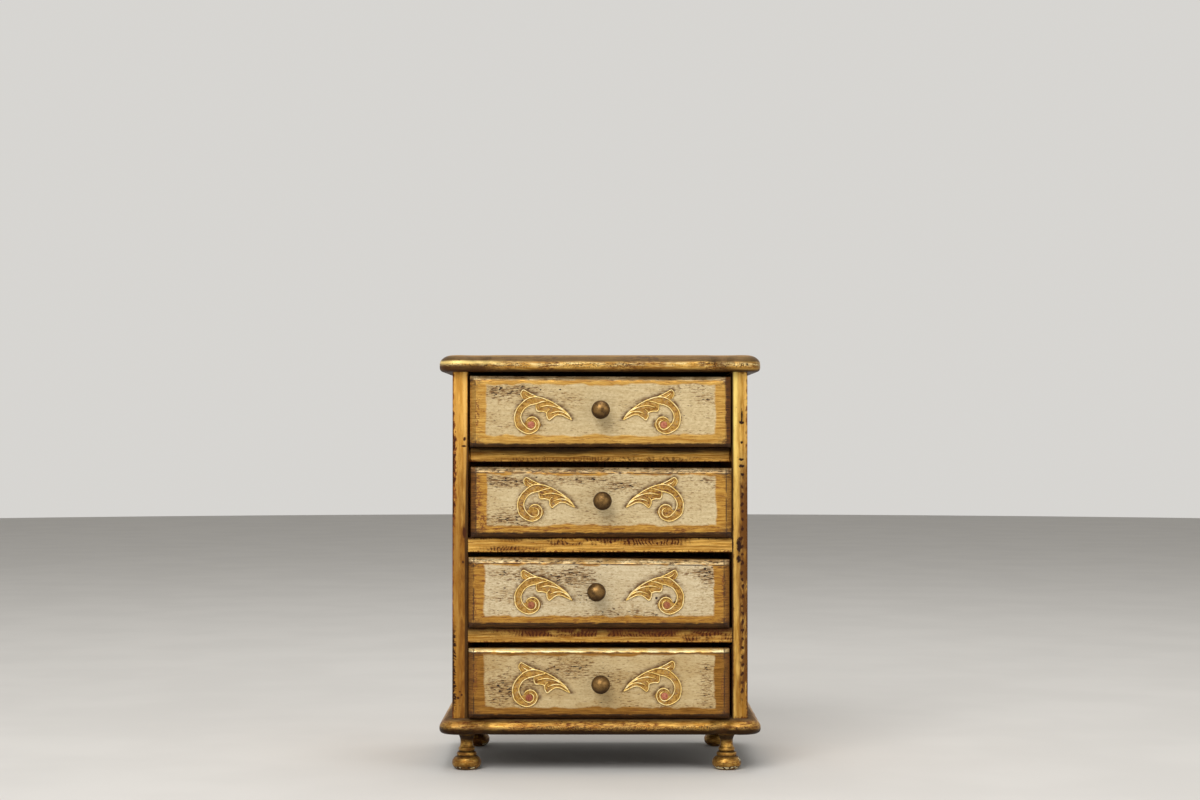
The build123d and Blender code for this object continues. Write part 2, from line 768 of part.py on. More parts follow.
with BuildPart() as cylinder_arbor:
    with BuildSketch(across(pinion_start)):
        with Locations((cylinder_v, cylinder_w)):
            Circle(cylinder_arbor_radius)
    extrude(amount=frame_end - pinion_start)
    with BuildSketch(across(pinion_start)):
        toothed_disc(
            (cylinder_v, cylinder_w), pinion_teeth, pinion_radius, pinion_addendum,
            pinion_dedendum, pinion_tooth_width, 270,
        )
    extrude(amount=crown_face)
    with BuildSketch(across(great_wheel_start)):
        toothed_disc(
            (cylinder_v, cylinder_w), great_wheel_teeth, great_radius, fine_addendum,
            fine_dedendum, fine_tooth_width, 180 + step_angle + 180 / great_wheel_teeth,
        )
    extrude(amount=great_wheel_thickness)
save(cylinder_arbor.part, "cylinder_arbor")

# Step arbor: a pinion driven by the great wheel and the wheel that drives the worm
with BuildPart() as intermediate_wheel:
    with BuildSketch(across(inner_post_start)):
        with Locations((step_v, step_w)):
            Circle(step_arbor_radius)
    extrude(amount=frame_end - inner_post_start)
    with BuildSketch(across(step_pinion_start)):
        toothed_disc(
            (step_v, step_w), step_pinion_teeth, step_pinion_radius, fine_addendum,
            fine_dedendum, fine_tooth_width, step_angle,
        )
    extrude(amount=step_pinion_width)
    with BuildSketch(across(worm_wheel_start)):
        toothed_disc(
            (step_v, step_w), worm_wheel_teeth, worm_wheel_radius, fine_addendum,
            fine_dedendum, fine_tooth_width, 180,
        )
    extrude(amount=worm_wheel_width)
save(intermediate_wheel.part, "intermediate_wheel")

# Governor: a worm on an upright spindle with a two-winged fan. The thread starts so that the
# wheel's tooth at the mesh stands between two turns.
thread_start = step_w + worm_pitch / 4 - (worm_turns // 2 + 1) * worm_pitch
worm_low = plate_thickness - pivot_seat
with BuildPart() as worm_thread:
    with BuildLine() as thread_path:
        Helix(worm_pitch, worm_turns * worm_pitch, worm_radius)
    with BuildSketch(Plane(thread_path.line @ 0, x_dir=(1, 0, 0), z_dir=thread_path.line % 0)):
        Polygon(
            (-worm_thread_root, -worm_thread_width * tooth_foot_share / 2),
            (worm_thread_height, -worm_thread_width * tooth_tip_share / 2),
            (worm_thread_height, worm_thread_width * tooth_tip_share / 2),
            (-worm_thread_root, worm_thread_width * tooth_foot_share / 2),
            align=None,
        )
    sweep(path=thread_path.line, is_frenet=True)

thread_origin = movement.from_local_coords((worm_u, worm_v, thread_start))
thread_plane = Plane(thread_origin, x_dir=movement.x_dir, z_dir=movement.z_dir)
with BuildPart() as governor_worm:
    with BuildSketch(movement.offset(worm_low)):
        with Locations((worm_u, worm_v)):
            Circle(pivot_radius)
    extrude(amount=arm_top - worm_low)
    with BuildSketch(movement.offset(thread_start - worm_pitch)):
        with Locations((worm_u, worm_v)):
            Circle(worm_shaft_radius)
    extrude(amount=(worm_turns + 2) * worm_pitch)
    with Locations(thread_plane.location):
        add(worm_thread.part)
    with BuildSketch(movement.offset(fan_start)):
        with Locations((worm_u, worm_v)):
            Rectangle(2 * fan_radius, fan_thickness)
            Circle(fan_hub_radius)
    extrude(amount=fan_length)
save(governor_worm.part, "governor_worm")

# Governor frame: the outer bearings and the arm over the fan, on one foot
with BuildPart() as governor_frame:
    with BuildSketch(movement.offset(plate_thickness)):
        with Locations((frame_start, column_low_v)):
            Rectangle(
                frame_foot_width, cylinder_v + post_radius - column_low_v, align=(Align.MIN, Align.MIN)
            )
        with Locations((worm_u - frame_column / 2, column_low_v)):
            Rectangle(
                frame_start + frame_foot_width - worm_u + frame_column / 2, frame_column_depth,
                align=(Align.MIN, Align.MIN),
            )
    extrude(amount=frame_foot_height)
    with BuildSketch(across(frame_start)):
        post(cylinder_v, cylinder_w, post_radius, plate_thickness)
        post(step_v, step_w, step_post_radius, plate_thickness)
    extrude(amount=frame_thickness)
    with BuildSketch(across(frame_start)):
        with Locations((cylinder_v, cylinder_w)):
            Circle(cylinder_arbor_radius + bearing_gap)
        with Locations((step_v, step_w)):
            Circle(step_arbor_radius + bearing_gap)
    extrude(amount=frame_thickness, mode=Mode.SUBTRACT)
    with BuildSketch(movement.offset(plate_thickness)):
        with Locations((worm_u, column_low_v)):
            Rectangle(frame_column, frame_column_depth, align=(Align.CENTER, Align.MIN))
    extrude(amount=arm_top - plate_thickness)
    with BuildSketch(movement.offset(arm_bottom)):
        with Locations((worm_u, column_low_v)):
            Rectangle(
                frame_column, worm_v + frame_column / 2 - column_low_v, align=(Align.CENTER, Align.MIN)
            )
    extrude(amount=frame_arm_thickness)
    with BuildSketch(movement.offset(arm_bottom)):
        with Locations((worm_u, worm_v)):
            Circle(pivot_radius + bearing_gap)
    extrude(amount=frame_arm_thickness, mode=Mode.SUBTRACT)
save(governor_frame.part, "governor_frame")

# Steel comb with one tooth to a note, and its two screws
with BuildPart() as comb:
    with BuildSketch(movement.offset(comb_bottom)):
        with Locations((comb_u, comb_screw_v)):
            Rectangle(comb_width, comb_base)
        with Locations((comb_u, comb_root_v)):
            with GridLocations(note_pitch, 1, notes, 1):
                Rectangle(comb_tooth_width, comb_root, align=(Align.CENTER, Align.MIN))
        with Locations((comb_u, comb_screw_v)):
            with GridLocations(comb_screw_spread, 1, 2, 1):
                Circle(comb_screw_radius + screw_gap, mode=Mode.SUBTRACT)
    extrude(amount=comb_thickness)
save(comb.part, "comb")

with BuildPart() as comb_screws:
    with BuildSketch(movement.offset(comb_bottom + comb_thickness)):
        with Locations((comb_u, comb_screw_v)):
            with GridLocations(comb_screw_spread, 1, 2, 1):
                Circle(comb_screw_radius)
    extrude(amount=-comb_screw_length)
    with BuildSketch(movement.offset(comb_bottom + comb_thickness)):
        with Locations((comb_u, comb_screw_v)):
            with GridLocations(comb_screw_spread, 1, 2, 1):
                Circle(comb_head_radius)
    extrude(amount=comb_head_height)
save(comb_screws.part, "comb_screws")

# Stop wire: springs forward when drawer 1 opens, and is pushed back beside the fan when it closes
beside_fan = (fan_radius + wire_radius + tip_gap) / math.sqrt(2)
wire_route = [
    Vector(wire_u, wire_v, plate_thickness - wire_seat),
    Vector(wire_u, wire_v, wire_rise),
    Vector(worm_u + beside_fan, worm_v - beside_fan, fan_start),
    Vector(worm_u + beside_fan, worm_v - beside_fan, arm_top),
    Vector(wire_u, worm_v - beside_fan - wire_tip_drop, movement_room - wire_gap),
]
wire_points = [movement.from_local_coords(point) for point in wire_route]
with BuildPart() as stop_wire:
    with BuildLine() as wire_path:
        FilletPolyline(*wire_points, radius=wire_bend)
    with BuildSketch(Plane(origin=wire_path.line @ 0, z_dir=wire_path.line % 0)):
        Circle(wire_radius)
    sweep(path=wire_path.line)
save(stop_wire.part, "stop_wire")
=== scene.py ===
import math
from functools import partial

import bmesh
import bpy
from mathutils import Matrix, Vector, kdtree, noise


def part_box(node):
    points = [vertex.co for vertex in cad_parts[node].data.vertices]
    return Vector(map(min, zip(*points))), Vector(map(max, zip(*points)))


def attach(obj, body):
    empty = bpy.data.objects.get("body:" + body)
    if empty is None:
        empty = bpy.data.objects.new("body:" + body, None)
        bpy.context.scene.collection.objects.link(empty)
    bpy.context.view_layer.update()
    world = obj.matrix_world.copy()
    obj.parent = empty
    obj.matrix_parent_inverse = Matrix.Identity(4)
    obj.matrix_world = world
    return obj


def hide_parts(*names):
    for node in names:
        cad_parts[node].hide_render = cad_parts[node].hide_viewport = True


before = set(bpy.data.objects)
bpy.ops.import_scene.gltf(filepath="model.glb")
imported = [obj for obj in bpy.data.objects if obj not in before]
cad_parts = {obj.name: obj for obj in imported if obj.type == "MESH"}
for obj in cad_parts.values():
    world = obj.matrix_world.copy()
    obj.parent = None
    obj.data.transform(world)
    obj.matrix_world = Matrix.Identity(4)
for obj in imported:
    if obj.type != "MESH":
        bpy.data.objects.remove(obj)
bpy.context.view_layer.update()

# Looks of a small gilt chest of four drawers: metal leaf over a red-brown ground, ivory fronts
# with raised scrolls, turned feet and a musical movement behind the top drawer.
mm = 0.001
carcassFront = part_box("left_side")[0].y
drawerCount = 4


# Small helpers

def linearColour(hexText):
    parts = [int(hexText[k:k + 2], 16) / 255 for k in (0, 2, 4)]
    return [c / 12.92 if c <= 0.04045 else ((c + 0.055) / 1.055) ** 2.4 for c in parts] + [1.0]


def put(tree, kind, inputs=(), operation=None, **settings):
    # adds a node; the inputs are values, nodes or sockets, in a list or under their names
    made = tree.nodes.new(kind if "Node" in kind else "ShaderNode" + kind)
    if operation:
        made.operation = operation
    for name, value in settings.items():
        setattr(made, name, value)
    sockets = [s for s in made.inputs if s.enabled]
    if isinstance(inputs, dict):
        sockets = [next(s for s in sockets if s.name == name) for name in inputs]
        inputs = inputs.values()
    for socket, value in zip(sockets, inputs):
        if isinstance(value, bpy.types.Node):
            value = next(s for s in value.outputs if s.enabled)
        if isinstance(value, bpy.types.NodeSocket):
            tree.links.new(value, socket)
        elif isinstance(value, str) and socket.type == "RGBA":
            socket.default_value = linearColour(value)
        else:
            socket.default_value = value
    return made


def newFinish(name):                               # a material, its shader, add and the places
    finish = bpy.data.materials.new(name)
    finish.use_nodes = True
    shader = finish.node_tree.nodes["Principled BSDF"]
    shader.inputs["Specular IOR Level"].default_value = 0.3
    add = partial(put, finish.node_tree)
    return finish, shader, add, add("TexCoord").outputs["Object"]


def patches(add, place, sizes, low, high, seed=0, detail=3, roughness=0.55):
    # soft-edged patches of about the given width, depth and height in millimetres
    spread = add("Mapping", {"Vector": place, "Scale": [1 / (s * mm) for s in sizes],
                             "Location": (seed * 3.1, seed * 1.7, seed * 2.3)})
    clouds = add("TexNoise", {"Vector": spread, "Scale": 1, "Detail": detail,
                              "Roughness": roughness})
    return add("MapRange", [clouds, low, high], interpolation_type="SMOOTHSTEP")


def between(add, value, low, high, soft):          # 1 between two places on a scale, soft at both
    rise = add("MapRange", [value, low - soft, low + soft])
    drop = add("MapRange", [value, high + soft, high - soft])
    return add("Math", [rise, drop], "MULTIPLY")


def spotsAt(add, across, up, rough, spots):        # ragged spots: place and half sizes in mm
    whole = None
    for u, v, halfWidth, halfHeight in spots:
        squares = []
        for value, middle, half in ((across, u, halfWidth), (up, v, halfHeight)):
            off = add("Math", [value, middle * mm], "SUBTRACT")
            off = add("Math", [off, half * mm], "DIVIDE")
            squares.append(add("Math", [off, off], "MULTIPLY"))
        away = add("Math", [squares[0], squares[1]], "ADD")
        away = add("Math", [away, rough], "ADD")
        spot = add("MapRange", [away, 1.6, 0.95])
        whole = add("Math", [whole, spot], "MAXIMUM") if whole else spot
    return whole


def times(add, *values):                           # the product of masks and numbers
    whole = values[0]
    for value in values[1:]:
        whole = add("Math", [whole, value], "MULTIPLY")
    return whole


def edgeDistance(add, place, low, high):           # how far a point of a face is from its edge
    middle = [(a + b) / 2 for a, b in zip(low, high)]
    half = [(b - a) / 2 for a, b in zip(low, high)]
    fromMiddle = add("VectorMath", [place, middle], "SUBTRACT")
    outward = add("VectorMath", [fromMiddle], "ABSOLUTE")
    inward = add("VectorMath", [half, outward], "SUBTRACT")
    x, y, z = add("SeparateXYZ", [inward]).outputs
    least = add("Math", [x, y], "MINIMUM")
    most = add("Math", [x, y], "MAXIMUM")
    inner = add("Math", [most, z], "MINIMUM")
    return add("Math", [least, inner], "MAXIMUM")


def layCoats(add, shader, coats):                  # each coat: mask, colour, roughness, metallic
    colour, rough, metal = coats[0][1:]
    for mask, nextColour, nextRough, nextMetal in coats[1:]:
        colour = add("Mix", [mask, colour, nextColour], data_type="RGBA")
        rough = add("Mix", [mask, rough, nextRough])
        metal = add("Mix", [mask, metal, nextMetal])
    for made, name in ((colour, "Base Color"), (rough, "Roughness"), (metal, "Metallic")):
        if isinstance(made, bpy.types.Node):
            shader.id_data.links.new(next(s for s in made.outputs if s.enabled),
                                     shader.inputs[name])
        elif isinstance(made, str):
            shader.inputs[name].default_value = linearColour(made)
        else:
            shader.inputs[name].default_value = made


def emboss(add, shader, height, distance):         # bump from a height of 0 to 1, distance in mm
    bump = add("Bump", {"Height": height, "Distance": distance * mm, "Strength": 1})
    shader.id_data.links.new(bump.outputs[0], shader.inputs["Normal"])


def asPiece(shape, name, smooth=40):
    mesh = bpy.data.meshes.new(name)
    shape.to_mesh(mesh)
    shape.free()
    mesh.shade_smooth()
    mesh.set_sharp_from_angle(angle=math.radians(smooth))
    piece = bpy.data.objects.new(name, mesh)
    bpy.context.scene.collection.objects.link(piece)
    return piece


def pour(part, whole):                             # adds one draft shape to another
    mesh = bpy.data.meshes.new("draft")
    part.to_mesh(mesh)
    part.free()
    whole.from_mesh(mesh)
    bpy.data.meshes.remove(mesh)


def settle(piece):                                 # makes the modifiers' result the plain mesh
    graph = bpy.context.evaluated_depsgraph_get()
    mesh = bpy.data.meshes.new_from_object(piece.evaluated_get(graph))
    piece.modifiers.clear()
    piece.data = mesh
    return piece


def join(piece, body, slotName, finishes, *nodes):  # the piece stands for these nodes of the frame
    for finish in finishes:
        piece.data.materials.append(finish)
    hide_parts(*nodes)
    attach(piece, body)


def dress(finish, *nodes):
    for node in nodes:
        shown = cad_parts[node]
        if not shown.material_slots:
            shown.data.materials.append(finish)
        for place in shown.material_slots:
            place.material = finish


def turned(profile, turns, place, closed=False):   # lathe work: (radius, height), pole to pole
    shape = bmesh.new()
    rings = []
    for radius, height in profile:
        if radius < 1e-7:
            rings.append([shape.verts.new(place @ Vector((0, 0, height)))])
            continue
        angles = [2 * math.pi * k / turns for k in range(turns)]
        rings.append([shape.verts.new(place @ Vector((radius * math.cos(a), radius * math.sin(a),
                                                      height))) for a in angles])
    for low, high in zip(rings, rings[1:] + (rings[:1] if closed else [])):
        for k in range(turns):
            corners = [low[k % len(low)], low[(k + 1) % len(low)],
                       high[(k + 1) % len(high)], high[k % len(high)]]
            shape.faces.new(list(dict.fromkeys(corners)))
    bmesh.ops.recalc_face_normals(shape, faces=shape.faces)
    return shape


def arcThrough(a, b, c, steps):                    # points of the arc from a over b to c
    a, b, c = Vector(a), Vector(b), Vector(c)
    d = 2 * (a.x * (b.y - c.y) + b.x * (c.y - a.y) + c.x * (a.y - b.y))
    middle = Vector((
        (a.length_squared * (b.y - c.y) + b.length_squared * (c.y - a.y)
         + c.length_squared * (a.y - b.y)) / d,
        (a.length_squared * (c.x - b.x) + b.length_squared * (a.x - c.x)
         + c.length_squared * (b.x - a.x)) / d))
    start = math.atan2(*reversed(a - middle))
    through = (math.atan2(*reversed(b - middle)) - start) % (2 * math.pi)
    end = (math.atan2(*reversed(c - middle)) - start) % (2 * math.pi)
    if through > end:
        end -= 2 * math.pi
    radius = (a - middle).length
    return [tuple(middle + radius * Vector((math.cos(start + end * k / steps),
                                            math.sin(start + end * k / steps))))
            for k in range(steps + 1)]


def quarterTurn(steps):
    return [math.pi / 2 * k / steps for k in range(steps + 1)]


def smoothLine(points, step):                      # a smooth line through the points, evenly cut
    ends = [points[0] * 2 - points[1]] + points + [points[-1] * 2 - points[-2]]
    line = []
    for a, b, c, d in zip(ends, ends[1:], ends[2:], ends[3:]):
        count = max(2, round((c - b).length / step))
        for k in range(count):
            t = k / count
            line.append(0.5 * (2 * b + (c - a) * t + (2 * a - 5 * b + 4 * c - d) * t * t
                               + (3 * b - a - 3 * c + d) * t ** 3))
    return line + [points[-1]]


def rimOf(rows):                                   # the points round a grid, once about
    return (rows[0] + [row[-1] for row in rows[1:]] + rows[-1][-2::-1]
            + [row[0] for row in rows[-2:0:-1]])


def unevenAt(spot, cell, shift=(0, 0, 0)):         # noise of -1 to 1, its cells in millimetres
    return noise.noise(spot / (cell * mm) + Vector(shift))


def bridge(shape, low, high):                      # faces between two closed rings of points
    for k in range(len(low)):
        m = (k + 1) % len(low)
        shape.faces.new([low[k], low[m], high[m], high[k]])


def softStep(value, low, high):
    t = min(1, max(0, (value - low) / (high - low)))
    return t * t * (3 - 2 * t)


# Finishes

leaf = {"light": "E9BA62", "mid": "B17B2E", "deep": "7A4A1A", "bole": "6A3614", "wax": "23150B"}


def metalLeaf(name, seed, brush, rub=0.0, wax=0.0, box=None, extra=None, dust=0.0, shade=0.0):
    # Dutch metal leaf laid on red-brown bole and rubbed with dark wax: a satin gold with brush
    # marks, worn red-brown at the edges and speckled nearly black where the wax stayed.
    finish, shader, add, place = newFinish(name)
    shader.inputs["Specular IOR Level"].default_value = 0.12     # the wax is dull
    streaks = patches(add, place, brush, 0.36, 0.64, seed, detail=6, roughness=0.72)
    clouds = patches(add, place, [s * 2.2 for s in brush], 0.42, 0.64, seed + 3, detail=4)
    leafTone = add("Mix", [streaks, leaf["mid"], leaf["light"]], data_type="RGBA")
    deep = add("Math", [clouds, 0.45], "MULTIPLY")
    rubbed = patches(add, place, [s * 0.8 for s in brush], 0.59 - rub, 0.70 - rub, seed + 7,
                     detail=6, roughness=0.7)
    specks = patches(add, place, (0.9, 0.9, 0.9), 0.64 - wax, 0.71 - wax, seed + 11, detail=3)
    where = patches(add, place, (8, 8, 8), 0.42, 0.6, seed + 13)
    specks = add("Math", [specks, where], "MULTIPLY")
    coats = [
        (None, leafTone, 0.34, 0.9),
        (deep, leaf["deep"], 0.42, 0.75),
        (rubbed, leaf["bole"], 0.5, 0.3),
        # shade: painted shade, an even darkening laid over the whole piece
        (shade, "4A2C12", 0.45, 0.4),
    ]
    if box:
        near = edgeDistance(add, place, *box)
        ragged = patches(add, place, (1.6, 1.6, 2.6), 0.25, 0.75, seed + 17, detail=5)
        reach = add("MapRange", [ragged, 0, 1, -0.5 * mm, 1.6 * mm])
        gap = add("Math", [reach, near], "SUBTRACT")
        worn = add("MapRange", [gap, 0, 0.5 * mm, 0, 0.9])
        coats.append((worn, leaf["bole"], 0.6, 0.15))
    if extra:
        coats += extra(add, place)
    coats.append((specks, leaf["wax"], 0.5, 0.0))
    if dust:
        normal = add("TexCoord").outputs["Normal"]
        up = add("SeparateXYZ", [normal]).outputs["Z"]
        lies = add("MapRange", [up, 0.82, 0.97, 0, dust])
        film = patches(add, place, (5, 5, 5), 0.25, 0.7, seed + 19, detail=6)
        grey = add("Mix", [film, "3A2818", "66513A"], data_type="RGBA")
        coats.append((lies, grey, 0.85, 0.0))
    layCoats(add, shader, coats)
    grit = patches(add, place, (0.5, 0.5, 0.5), 0.2, 0.8, seed + 23, detail=5)
    dents = patches(add, place, [s * 0.5 for s in brush], 0.2, 0.8, seed + 29, detail=4)
    height = add("Math", [grit, dents], "ADD")
    height = add("Math", [height, specks], "SUBTRACT")
    emboss(add, shader, height, 0.07)
    return finish


def waxAndShadeBands(box, upper, lower, tones, wave, shine, lit=0.0):
    # painted shade under the lower edge of a moulded board, dark wax with painted shade on its
    # upper curve, painted highlights along its front, and painted shade with wax in its hollows;
    # upper and lower are shares of the board's thickness where these dark bands start and are full
    bottom, thickness = box[0].z, box[1].z - box[0].z

    def at(share):
        return bottom + share * thickness

    def bands(add, place):
        z = add("SeparateXYZ", [place]).outputs["Z"]
        waves = patches(add, place, (12, 12, 6), 0.25, 0.75, 41, detail=4)
        shift = add("MapRange", [waves, 0, 1, -wave * mm, wave * mm])
        level = add("Math", [z, shift], "ADD")
        normal = add("TexCoord").outputs["Normal"]
        flat = add("SeparateXYZ", [normal]).outputs["Z"]
        offTop = add("MapRange", [flat, 0.86, 0.985, 1, 0.12])
        onTop = add("MapRange", [flat, 0.9, 0.985])
        brushed = patches(add, place, (52, 3.4, 9), 0.32, 0.68, 67, detail=6, roughness=0.66)
        calm = add("Mix", [brushed, "9E6E2C", "C8994A"], data_type="RGBA")
        scuffed = patches(add, place, (24, 9, 9), 0.57, 0.72, 71, detail=7, roughness=0.7)
        made = []
        # the upper band is dark wax with painted shade, the lower band is painted shade under the
        # edge
        for (start, full), colour, most in ((upper, tones[0], 0.9), (lower, tones[1], 0.95)):
            band = add("MapRange", [level, at(start), at(full), 0, most],
                       interpolation_type="SMOOTHSTEP")
            band = add("Math", [band, offTop], "MULTIPLY")
            made.append((band, colour, 0.42, 0.45))
        # hollow: painted shade with wax in the recess beside each lobe
        hollow = add("Attribute", attribute_name="hollow").outputs["Fac"]
        rubbing = patches(add, place, (3.2, 3.2, 0.6), 0.47, 0.58, 43, detail=6, roughness=0.7)
        apart = patches(add, place, (24, 24, 24), 0.44, 0.58, 47)
        grains = patches(add, place, (0.8, 0.8, 0.6), 0.50, 0.60, 53, detail=3)
        strip = between(add, level, at(0.24), at(0.56), 0.08 * thickness)
        spread = patches(add, place, (30, 30, 30), 0.40, 0.52, 59)
        # painted highlight along the front's middle; at the left end a brighter painted glint with
        # painted shade below it
        highlight = between(add, level, at(0.36), at(0.54), 0.1 * thickness)
        gleam = patches(add, place, (7, 7, 1.0), 0.42, 0.62, 61, detail=5)
        x = add("SeparateXYZ", [place]).outputs["X"]
        leftEnd = add("MapRange", [x, -56 * mm, -70 * mm, 0, lit])
        streak = between(add, level, at(0.47), at(0.64), 0.05 * thickness)
        under = add("MapRange", [level, at(0.44), at(0.30)])
        return [
            (onTop, calm, 0.38, 0.85),
            (times(add, onTop, scuffed, 0.55), "6A3A18", 0.5, 0.35),
            # painted highlight
            (times(add, highlight, gleam, offTop, shine), "FFEFB0", 0.36, 0.4),
            (times(add, rubbing, apart, offTop), "6B3D1B", 0.45, 0.35),
            (times(add, grains, strip, spread, offTop), "3A200D", 0.5, 0.1),
            *made,
            # painted shade below, then a painted glint, at the left end
            (times(add, leftEnd, under, 0.85), "3E2411", 0.5, 0.3),
            (times(add, leftEnd, streak, offTop, 0.8), "FFE08C", 0.36, 0.35),
            # painted shade with wax in the recess
            (hollow, "4A2E14", 0.5, 0.4),
        ]
    return bands


def tickRows(box, seed, spans, shadowUnderEdge, browned):
    # fine upright dark ticks that a comb or stiff brush left in the wax along a rail; a span is
    # its middle and reach along the rail in mm, its lower and upper share of the height, and how
    # dense it is; shadowUnderEdge is where the painted shadow under the upper edge, cast by the
    # drawer front above and laid with some wax, starts and is full; browned is how much the leaf
    # is browned about the ticks
    low, high = box
    height = high.z - low.z

    def ticks(add, place):
        x, y, z = add("SeparateXYZ", [place]).outputs
        drift = patches(add, place, (12, 6, 7), 0.2, 0.8, seed + 4, detail=2)
        phase = add("MapRange", [drift, 0, 1, 0, 12])
        turns = add("Math", [x, math.tau / (2.1 * mm)], "MULTIPLY")
        turns = add("Math", [turns, phase], "ADD")
        comb = add("Math", [turns], "SINE")
        comb = add("Math", [comb, 0.5], "MULTIPLY")
        uneven = patches(add, place, (1.2, 6, 1.7), 0.25, 0.75, seed, detail=4)
        comb = add("Math", [comb, uneven], "ADD")
        fine = add("MapRange", [comb, 0.5, 0.8])
        level = patches(add, place, (2.4, 6, 0.42), 0.52, 0.6, seed + 2, detail=4)
        cluster = patches(add, place, (11, 6, 4), 0.34, 0.54, seed + 1, detail=3)
        whole = None
        for middle, reach, start, end, dense in spans:
            along = between(add, x, (middle - reach) * mm, (middle + reach) * mm, 6 * mm)
            band = between(add, z, low.z + height * start, low.z + height * end, 0.07 * height)
            span = add("Math", [along, band], "MULTIPLY")
            span = add("Math", [span, dense], "MULTIPLY")
            whole = add("Math", [whole, span], "MAXIMUM") if whole else span
        cloud = add("Math", [cluster, whole], "MULTIPLY")
        mask = add("Math", [fine, cloud], "MULTIPLY")
        dashes = add("Math", [level, cloud], "MULTIPLY")
        dashes = add("Math", [dashes, 0.7], "MULTIPLY")
        glaze = add("Math", [cloud, browned], "MULTIPLY")
        wave = patches(add, place, (26, 6, 5), 0.2, 0.8, seed + 3, detail=4)
        wave = add("MapRange", [wave, 0, 1, -0.16 * height, 0.16 * height])
        level = add("Math", [z, wave], "ADD")
        # painted shadow of the drawer front above, with some wax, under the rail's upper edge
        edge = add("MapRange", [level, low.z + height * shadowUnderEdge[0],
                                low.z + height * shadowUnderEdge[1], 0, 0.95],
                   interpolation_type="SMOOTHSTEP")
        return [(glaze, "7A4518", 0.42, 0.45), (edge, "24150A", 0.5, 0.3),
                (dashes, "5A3012", 0.45, 0.2), (mask, "4A230D", 0.5, 0.15)]
    return ticks


def calmFlank(add, place, front):                  # the outer faces are brushed more evenly
    flank = add("Math", [1.0, front], "SUBTRACT")
    brushed = patches(add, place, (6, 6, 70), 0.30, 0.70, 33, detail=7, roughness=0.6)
    even = add("Mix", [brushed, "B37F34", "D2A250"], data_type="RGBA")
    scuffed = patches(add, place, (9, 9, 26), 0.58, 0.74, 35, detail=7, roughness=0.7)
    return [(times(add, flank, 0.85), even, 0.36, 0.88),
            (times(add, flank, scuffed, 0.6), "6A3A18", 0.5, 0.35)]


def onFront(add, y):                               # 1 on the front faces, 0 on the flanks
    return add("MapRange", [y, carcassFront + 1.2 * mm, carcassFront + 0.6 * mm])


def leftStile(box, marks):
    # rubbed through to bole along the outer corner, browner below the second drawer, with
    # saw-like wax ticks low down, a brighter upper part with a painted highlight near the inner
    # edge,
    # and a dark band along the inner edge: wax with the painted shade of the gap beside the
    # drawers
    def worn(add, place):
        x, y, z = add("SeparateXYZ", [place]).outputs
        front = onFront(add, y)
        fromCorner = add("Math", [x, box[0].x], "SUBTRACT")
        fromInside = add("Math", [box[1].x, x], "SUBTRACT")
        lower = add("MapRange", [z, 205 * mm, 140 * mm])
        cloudy = patches(add, place, (2.2, 5, 9), 0.30, 0.62, 55, detail=5)
        innerHalf = add("MapRange", [fromInside, 6.0 * mm, 4.2 * mm])
        ragged = patches(add, place, (1.2, 5, 3.0), 0.2, 0.8, 57, detail=5)
        reach = add("MapRange", [ragged, 0, 1, 0.5 * mm, 3.3 * mm])
        upper = between(add, z, 146 * mm, 204 * mm, 10 * mm)
        narrow = add("MapRange", [upper, 0, 1, 0.42, 1])
        gap = add("Math", [times(add, reach, narrow), fromCorner], "SUBTRACT")
        strip = add("MapRange", [gap, 0, 0.4 * mm])
        rim = add("MapRange", [gap, 0.5 * mm, 1.1 * mm])
        drift = patches(add, place, (9, 9, 4), 0.2, 0.8, 59, detail=3)
        slide = add("MapRange", [drift, 0, 1, 0, 2.2])
        saw = add("Math", [z, 2.6 * mm], "DIVIDE")
        saw = add("Math", [saw, slide], "ADD")
        saw = add("Math", [saw], "FRACT")
        tooth = add("MapRange", [saw, 0, 1, 2.8 * mm, 0.8 * mm])
        gap = add("Math", [tooth, fromCorner], "SUBTRACT")
        ticks = add("MapRange", [gap, 0, 0.4 * mm])
        low = between(add, z, 36 * mm, 84 * mm, 5 * mm)
        # innerDarkReach: width of the dark inner edge, wax with painted shade of the gap
        innerDarkReach = add("MapRange", [lower, 0, 1, 0.3 * mm, 1.7 * mm])
        gap = add("Math", [innerDarkReach, fromInside], "SUBTRACT")
        inside = add("MapRange", [gap, -0.3 * mm, 0.2 * mm])
        spots = spotsAt(add, x, z, ragged, marks)
        higher = add("Math", [1.0, lower], "SUBTRACT")
        # inner: where the painted highlight lies near the inner edge
        inner = between(add, fromInside, 0.9 * mm, 2.6 * mm, 0.6 * mm)
        return calmFlank(add, place, front) + [
            # brighter leaf in the upper part, then a painted highlight near the inner edge
            (times(add, higher, front, 0.4), "F0AC4A", 0.36, 0.65),
            (times(add, higher, inner, front, 0.6), "FFD077", 0.36, 0.5),
            (times(add, lower, front, 0.62), "9C6624", 0.4, 0.7),
            (times(add, lower, innerHalf, cloudy, front, 0.85), "7A4A1A", 0.42, 0.5),
            (times(add, strip, front, 0.92), "7E4018", 0.5, 0.25),
            (times(add, rim, front, 0.85), "33190C", 0.5, 0.1),
            (times(add, ticks, low, front), "351C0C", 0.5, 0.1),
            # dark inner edge: wax with painted shade of the gap
            (times(add, inside, front, 0.85), "33200E", 0.5, 0.1),
            (times(add, spots, front), "4A2610", 0.5, 0.1)]
    return worn


